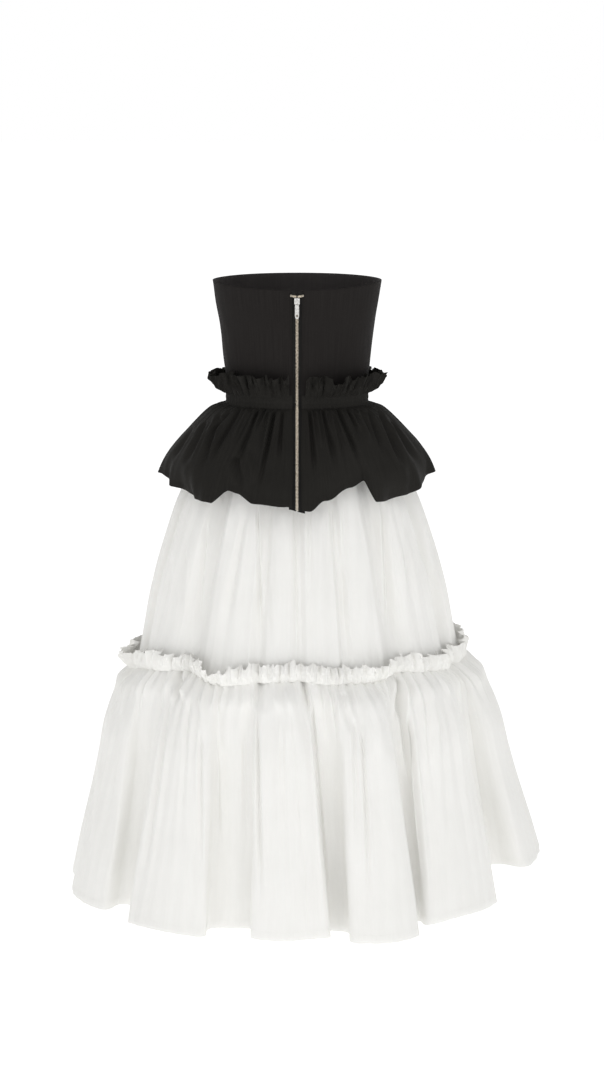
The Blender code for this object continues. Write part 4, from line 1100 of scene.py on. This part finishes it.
def lower_point(width_share, down, inside=0.0):
    seam_angle = -math.pi + TURN * width_share
    hem_angle, at_hem, lift = hem_fold(width_share)
    grown = np.maximum(down, 0) ** 0.45
    angle = mix(seam_angle, hem_angle, grown)
    height = mix(TIER_SEAM_Z - 0.0003, HEM_Z, down)
    half_width, back, front = through(LOWER_OUTLINE, height)
    below, left = down * LOWER_LENGTH, 1 - np.minimum(down, 1)
    big = gathers(seam_angle, below, count=43, seed=71, reach=0.20) * left**1.5
    small = gathers(seam_angle, below, count=104, seed=74, reach=0.060) * left**1.5
    gathered = (1.2 * MM + 0.016 * down * left**2) * big + (1.3 * MM + 0.060 * down * left**3) * small
    swell = loop_place(fold_phase(seam_angle, TIER_RUFFLE["count"], TIER_RUFFLE["seed"]), 2)
    pinch = 1.6 * MM * (1 + swell) * bell(below, 0.03)
    puff = (4.5 + 3.5 * big + 3.0 * swell) * MM * bell(below - 0.020, 0.020)
    puff = puff * smooth(below / 0.010) + pinch
    ripple = gathers(seam_angle + 0.03 * down, 0 * down, count=120, seed=77, reach=1.0, sharp=0.8)
    ripple = 1.5 * MM * ripple * smooth(down / 0.3) * (1 - 0.3 * down)
    hem_wave = 3.0 * MM * wander(seam_angle, seed=78, low=9, high=30) * down**2
    folds = mix(upper_fold(seam_angle) * 0.6, at_hem, grown)
    tilted = height + seam_tilt(seam_angle) * (1 - down) + (lift + hem_wave) * down**2
    tilted = tilted + (3.5 + 2.5 * swell) * MM * bell(below, 0.006)
    seen = seen_creases(on_oval(angle, half_width, back, front, folds, tilted), LOWER_CREASES_SEEN)
    metres = (np.mod(width_share + 0.5, 1.0) - 0.5) * HEM_LENGTH
    hidden = hidden_creases(metres, below, LOWER_CREASES_FRONT, angle, 0.15)
    out = folds + gathered + puff + ripple + seen + hidden - inside
    return on_oval(angle, half_width, back, front, out, tilted)


def lower_panel(name, start, end):
    columns = round(LOWER_COLUMNS * (end - start))
    down, inside = turned_up(LOWER_ROWS, 1.25, [1.0015, 1.0, 0.985, 0.965], [0.6, 1.2, 1.4, 1.4])
    across = np.linspace(0, 1, columns + 1)[None, :]
    dip = seam_dip(across, (end - start) * HEM_LENGTH, 0.003) * smooth(down / 0.03)
    points = lower_point(np.linspace(start, end, columns + 1)[None, :], down, inside - dip)
    piece = sheet_over(f"lower_tier_{name}", points, ivory_cloth)
    size = ((end - start) * HEM_LENGTH, LOWER_CUT_LENGTH)
    return size


cut_panels("lower tier", lower_panel, LOWER_PANELS)

# %% [markdown]
# ## Stitches
#
# A machine sews a row of stitches beside the zip, two gathering rows round the waist band and one
# row above each hem. Every stitch is a short thread that dips into the cloth at both ends. All the
# stitches of a row are one mesh, laid along a line worked out from the panel's own formula, so that
# they follow its gathers and folds.


# %% One row of stitches
STITCH, GAP, THREAD = 2.6 * MM, 0.6 * MM, 0.24 * MM


def unit(v):
    return v / np.linalg.norm(v)


def tube_faces(rings, corners, start):
    """Faces of a closed tube: its sides from ring to ring, and its two ends."""
    faces = []
    for ring in range(rings - 1):
        for k in range(corners):
            a, b = start + ring * corners + k, start + ring * corners + (k + 1) % corners
            faces.append((a, b, b + corners, a + corners))
    last = start + (rings - 1) * corners
    return faces + [tuple(range(start + corners - 1, start - 1, -1)), tuple(range(last, last + corners))]


def stitch_row(name, line, cloth, stitch=STITCH):
    """Stitches along a line. line(out) gives its points, moved out of the cloth by out metres."""
    ground, above = line(0.0), line(1.0 * MM)
    run = run_along(ground)
    count = int(run[-1] / (stitch + GAP))
    points, faces = [], []
    for i in range(count):
        ends = (i + np.array([0.0, 0.5, 1.0])) * (stitch + GAP) + np.array([0.5, 0.0, -0.5]) * GAP
        places, tops = (np.stack([np.interp(ends, run, way[:, k]) for k in range(3)], axis=-1)
                        for way in (ground, above))
        ahead = unit(places[2] - places[0])
        for place, top, size, rise in zip(places, tops, (0.45, 1.0, 0.45), (-0.3, 0.7, -0.3)):
            out = unit(top - place)
            middle, side = place + out * rise * THREAD, np.cross(out, ahead)
            points += [middle + way * THREAD * size for way in (side, out, -side, -out)]
        faces += tube_faces(3, 4, 12 * i)
    flat = np.tile([0.0, 0.0, 0.001, 0.0, 0.001, 0.003, 0.0, 0.003], len(faces))
    dress_piece(name, points, faces, cloth, flat)
    return count


print("a stitch is", STITCH / MM, "mm long, of thread", 2 * THREAD / MM, "mm thick")


# %% Stitch rows of the dress
# The rows' distance from the zip's middle, their height over the cloth, and the places of the two
# hem rows as a share of the way down.
ZIP_ROW, OVER_CLOTH = ZIP_OPENING + 2.5 * MM, 0.1 * MM
PEPLUM_HEM_ROW, LOWER_HEM_ROW = 0.95, 0.968


def beside_zip(side):
    height = np.linspace(0.206, 0.024, 120)
    return lambda out: bodice_point(side * ZIP_ROW / BODICE_HALF + 0 * height, height, out + OVER_CLOTH)


def beside_zip_on_peplum(side):
    share = np.linspace(0.03, 0.97, 120)
    angle = side * ZIP_ROW / peplum_half(share)
    return lambda out: peplum_point(angle, share, peplum_relief(angle, share) + OVER_CLOTH + out)


def band_row(row):
    return lambda out: band_points(900, 4, out + OVER_CLOTH)[row]


def peplum_hem_row(start, end):
    across, share = np.linspace(0.01, 0.99, 900), np.full(900, PEPLUM_HEM_ROW)
    angle = mix(start, end, across)
    turned, relief = angle + peplum_turn(angle, share, across), peplum_relief(angle, share)
    return lambda out: peplum_point(turned, share, relief + OVER_CLOTH + out)


def hem_row(start, end):
    share = np.linspace(start, end, round(3000 * (end - start)))
    return lambda out: lower_point(share[None, :], np.array([[LOWER_HEM_ROW]]), -(out + OVER_CLOTH))[0]


stitches = 0
for name, side in SIDES:
    stitches += stitch_row(f"zip_stitches_{name}", beside_zip(side), black_cloth)
    stitches += stitch_row(f"peplum_zip_stitches_{name}", beside_zip_on_peplum(side), peplum_cloth)
for row in (1, 2):
    stitches += stitch_row(f"band_stitches_{row}", band_row(row), peplum_cloth)
edge = ZIP_OPENING / peplum_half(1.0)
for name, start, end in (("back_left", -QUARTER, -edge), ("back_right", edge, QUARTER),
                         ("front", QUARTER, 3 * QUARTER)):
    stitches += stitch_row(f"peplum_hem_stitches_{name}", peplum_hem_row(start, end), peplum_cloth,
                           3.2 * MM)
for name, start, end in LOWER_PANELS:
    stitches += stitch_row(f"lower_hem_stitches_{name}", hem_row(start, end), ivory_cloth, 3.6 * MM)
print("stitches:", stitches)

# %% [markdown]
# ## Zip
#
# The zip runs the whole bodice, passes the waist in a gap of the band and goes on under the open
# back edges of the peplum. Its two tapes are ribbed cloth. Each metal tooth is clamped on a tape's
# edge and reaches a little past the middle, so the teeth of the two sides lie in turn. The teeth are
# one short bar shape, made as rings of eight corners and copied along the zip, which costs few faces.


# %% Path of the zip
ZIP_HEIGHTS = (0.1947, 0.165, 0.130, 0.095, 0.060, 0.030, 0.006)
ZIP_SHARES = (0.10, 0.28, 0.52, 0.76, 1.02)
BODICE_THICK, PEPLUM_THICK, UNDER = 2.0 * MM, 1.4 * MM, 0.3 * MM


def zip_rows(x, depth):
    """Points across the zip at each row of its path, in the bodice first and then in the peplum."""
    x, depth = np.atleast_1d(x).astype(float), np.atleast_1d(depth).astype(float)
    rows = [bodice_point(x / BODICE_HALF, height, -(BODICE_THICK + UNDER + depth)) for height in ZIP_HEIGHTS]
    rows.append(bodice_point(x / BODICE_HALF, BAND_FOOT_Z - 0.5 * MM, -(1.5 * MM + depth)))
    for share in ZIP_SHARES:
        angle, share = x / peplum_half(share, 0.5), np.full_like(x, share)
        back = PEPLUM_THICK + UNDER + depth
        rows.append(peplum_point(angle, share) - outward(peplum_point, angle, share) * back[..., None])
    return np.array(rows)


ZIP_RUN = run_along(zip_rows(0.0, 0.0)[:, 0])
ZIP_LENGTH = float(ZIP_RUN[-1])
print("zip length", round(ZIP_LENGTH, 3), "m")


def zip_points(x, depth, run):
    """Points of a strip along the zip: one row for each place of run, in metres from its top."""
    rows = zip_rows(x, depth)
    table = np.concatenate([ZIP_RUN[:, None], rows.reshape(len(ZIP_RUN), -1)], axis=1)
    columns = through(table, np.asarray(run, float))
    return np.stack(columns, axis=-1).reshape(len(run), rows.shape[1], 3)


# %% Tapes
TAPE_ABOVE, TAPE_WIDTH = 8.5 * MM, 13.0 * MM


def zip_tape(name, side):
    x = side * np.linspace(CHAIN_EDGE - 1.6 * MM, TAPE_EDGE, 26)
    ribs = 0.16 * MM * np.cos(np.arange(26) * TURN / 3.2)
    cord = -0.5 * MM * bell(np.abs(x) - CHAIN_EDGE, 1.0 * MM)
    points = zip_points(x, 0.35 * MM + ribs + cord, np.linspace(-TAPE_ABOVE, ZIP_LENGTH, 174))
    tape = sheet_over(f"zip_tape_{name}", points, tape_cloth, turned=side < 0)
    print("tape", name, round(ZIP_LENGTH + TAPE_ABOVE, 3), "m long")


for name, side in SIDES:
    zip_tape(name, side)

# %% [markdown]
# The chain and the slider are plated metal. Plating that is handled isn't one even colour, so a
# cloudy noise mixes a bright and a worn tone and makes the worn places rougher, and a much finer one
# gives small scratches as bump.


# %% Metals
def metal_material(name, colour, worn, roughness):
    material, tree, shader = new_material(name, "zip_metal", Metallic=1.0)
    where = node(tree, "TexCoord").outputs["Object"]
    patches, fine = noise(tree, where, 420.0, 4.0, 0.6), noise(tree, where, 3800.0, 2.0)
    rough = node(tree, "MapRange", in_Value=patches, in_From_Min=0.3, in_From_Max=0.7,
                 in_To_Min=roughness[0], in_To_Max=roughness[1])
    for socket, value in (("Base Color", two_tones(tree, patches, (0.38, worn), (0.62, colour))),
                          ("Roughness", rough.outputs["Result"]), ("Normal", bump(tree, fine, 0.02))):
        tree.links.new(value, shader.inputs[socket])
    return material


teeth_metal = metal_material("Zip teeth metal", (0.84, 0.76, 0.64), (0.60, 0.53, 0.43), (0.20, 0.38))
bright_metal = metal_material("Bright zip metal", (0.80, 0.79, 0.77), (0.50, 0.49, 0.47), (0.16, 0.34))
print("metals:", teeth_metal.name, "and", bright_metal.name)

# %% Teeth
# Rings of a tooth from its clamped end to its head: place across, half height, half depth, in mm.
TOOTH_RINGS = [
    (-3.00, 0.30, 0.50), (-2.85, 0.56, 0.95), (-1.30, 0.60, 1.05), (-0.70, 0.50, 0.85),
    (-0.10, 0.48, 0.75), (0.40, 0.60, 0.78), (0.80, 0.54, 0.66), (0.98, 0.28, 0.36),
]
CORNERS = [(1.0, 0.45), (0.55, 1.0), (-0.55, 1.0), (-1.0, 0.45), (-1.0, -0.45), (-0.55, -1.0),
           (0.55, -1.0), (1.0, -0.45)]
TOOTH_PITCH = 2.5 * MM


def teeth_piece(name, frames, solid):
    """One mesh of teeth. frames: a place, and unit vectors across, up and out, for each tooth."""
    corners = [(x, up * high, out * deep) for x, high, deep in TOOTH_RINGS for out, up in CORNERS]
    corners = np.array(corners) * MM
    points, faces = [], []
    for i, (place, across, up, out) in enumerate(frames):
        points += [place + across * c[0] + up * c[1] + out * c[2] for c in corners]
        tooth = tube_faces(len(TOOTH_RINGS), len(CORNERS), i * len(corners))
        right_handed = np.dot(np.cross(across, up), out) > 0
        faces += [face[::-1] for face in tooth] if right_handed else tooth
    dress_piece(name, points, faces, teeth_metal, None, solid)
    return len(frames)


def chain_frames():
    frames = []
    count = int((ZIP_LENGTH - 2 * MM) / (TOOTH_PITCH / 2))
    run = 1.0 * MM + np.arange(count) * TOOTH_PITCH / 2
    strip = zip_points(np.array([-0.4, 0.0, 0.4]) * MM, np.full(3, -0.5 * MM), run)
    for i in range(count):
        up = unit(strip[max(i - 1, 0), 1] - strip[min(i + 1, count - 1), 1])
        across = unit(strip[i, 2] - strip[i, 0])
        frames.append((strip[i, 1], across * (1 if i % 2 else -1), up, unit(np.cross(across, up))))
    return frames


print("teeth on the chain:", teeth_piece("zip_teeth", chain_frames(), "zip_chain"))

# %% [markdown]
# Above the slider the zip is open, and the two ends of the chain turn outward over the bodice's top
# edge. Their path is four listed points on each side, from the slider's middle.

# %% Turned-out ends above the slider
SLIDER_Z = 0.192
# Rows: number along the path, then millimetres across, out and up from the slider's middle.
END_PATH = [(0.0, 1.5, -2.8, 7.0), (1.0, 4.5, -2.2, 7.8), (2.0, 7.4, 1.7, 8.8), (3.0, 12.0, 1.8, 10.0)]
END_TEETH = 8


def slider_frame():
    """The slider's place, and unit vectors to the dress's left, out of the back and up."""
    here, above = (bodice_point(np.array(0.0), np.array(z)) for z in (SLIDER_Z, SLIDER_Z + MM))
    up = unit(above - here)
    across = np.array([1.0, 0.0, 0.0])
    out = np.cross(across, up)
    return here, across, out if out[1] > 0 else -out, up


def end_frames(side):
    here, across, out, up = slider_frame()
    steps = np.linspace(0.15, 2.9, END_TEETH)
    path, ahead = (np.stack(through(END_PATH, s), axis=-1) * MM for s in (steps, steps + 0.05))
    frames = []
    for p, q in zip(path, ahead):
        place = here + across * side * p[0] + out * p[1] + up * p[2]
        along = unit((q - p) * np.array([side, 1, 1]))
        forward = across * along[0] + out * along[1] + up * along[2]
        reach = unit(np.cross(forward, out) * side)
        frames.append((place, -reach, forward, unit(np.cross(reach, forward))))
    return frames


def end_tape(name, frames):
    """The tape's end under its teeth, turned out over the bodice's top edge."""
    back = slider_frame()[2] * 0.9 * MM
    widths = np.linspace(-1.8, 8.6, 8) * MM
    points = np.array([[place - across * width - back for width in widths]
                       for place, across, *_ in frames])
    tape = sheet_over(f"zip_end_{name}", points, tape_cloth, ending="tape")


for name, side in SIDES:
    end_tape(name, end_frames(side))
    print("teeth on the", name, "end:",
          teeth_piece(f"zip_end_{name}_teeth", end_frames(side), f"zip_end_{name}"))

# %% [markdown]
# ## Slider and pull
#
# The slider and its pull are hard metal, and the solids already have their shape, so they keep it
# and only get a finish: bright plated metal with slight clouding and fine scratches.

# %% Finish of the metal solids
for name in ("zip_slider", "zip_pull"):
    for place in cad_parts[name].material_slots:
        place.material = bright_metal
print("metal solids finished")

# %% [markdown]
# ## Studio
#
# The photograph is a cut-out on white with very soft light, so the folds show more by how deep they
# lie than by highlights. A white world gives that even light. Four large lamps stand low round the
# dress and a weak one hangs over it, so the peplum and the ruffles throw only a faint shadow on what
# lies under them. The floor is pale and glows slightly, so the dress throws almost none on it.

# %% Studio
WORLD_LIGHT, FLOOR_Z, FLOOR_REACH = 0.485, -1.04, 40.0

world = bpy.data.worlds.new("White studio")
world.use_nodes = True
sky = world.node_tree
sky_light = sky.nodes["Background"]
sky_light.inputs["Color"].default_value = (1.0, 1.0, 1.0, 1)
ray = node(sky, "LightPath")
strength = node(sky, "MapRange", in_Value=ray.outputs["Is Camera Ray"],
                in_To_Min=WORLD_LIGHT, in_To_Max=1.0)
sky.links.new(strength.outputs["Result"], sky_light.inputs["Strength"])
bpy.context.scene.world = world

floor_paint = new_material(
    "Pale floor", None, Base_Color=(0.9, 0.9, 0.9, 1), Roughness=0.9, Specular_IOR_Level=0.0,
    Emission_Color=(1.0, 1.0, 1.0, 1), Emission_Strength=0.66,
)[0]
corners = [(x, y, FLOOR_Z) for x, y in ((-1, -1), (1, -1), (1, 1), (-1, 1))]
corners = np.array(corners) * (FLOOR_REACH, FLOOR_REACH, 1)
new_object("Studio floor", corners, [(0, 1, 2, 3)], floor_paint)


def soft_lamp(name, place, aim, width, watts):
    light = bpy.data.lights.new(name, "AREA")
    light.shape, light.size, light.energy = "SQUARE", width, watts
    placed(bpy.data.objects.new(name, light), place, aim)


soft_lamp("Lamp overhead", (0, 1.6, 3.2), (0, 0, -0.2), 3.0, 20)
for side in (-1, 1):
    soft_lamp(f"Back lamp {side}", (side * 2.7, 3.8, 0.5), (0, 0, -0.4), 2.6, 25 - 2 * side)
    soft_lamp(f"Front lamp {side}", (side * 2.7, -3.8, 0.5), (0, 0, -0.4), 2.6, 25 + 2 * side)
bpy.context.scene.view_settings.view_transform = "Standard"
print("studio ready, with", len(bpy.data.lights), "lamps")
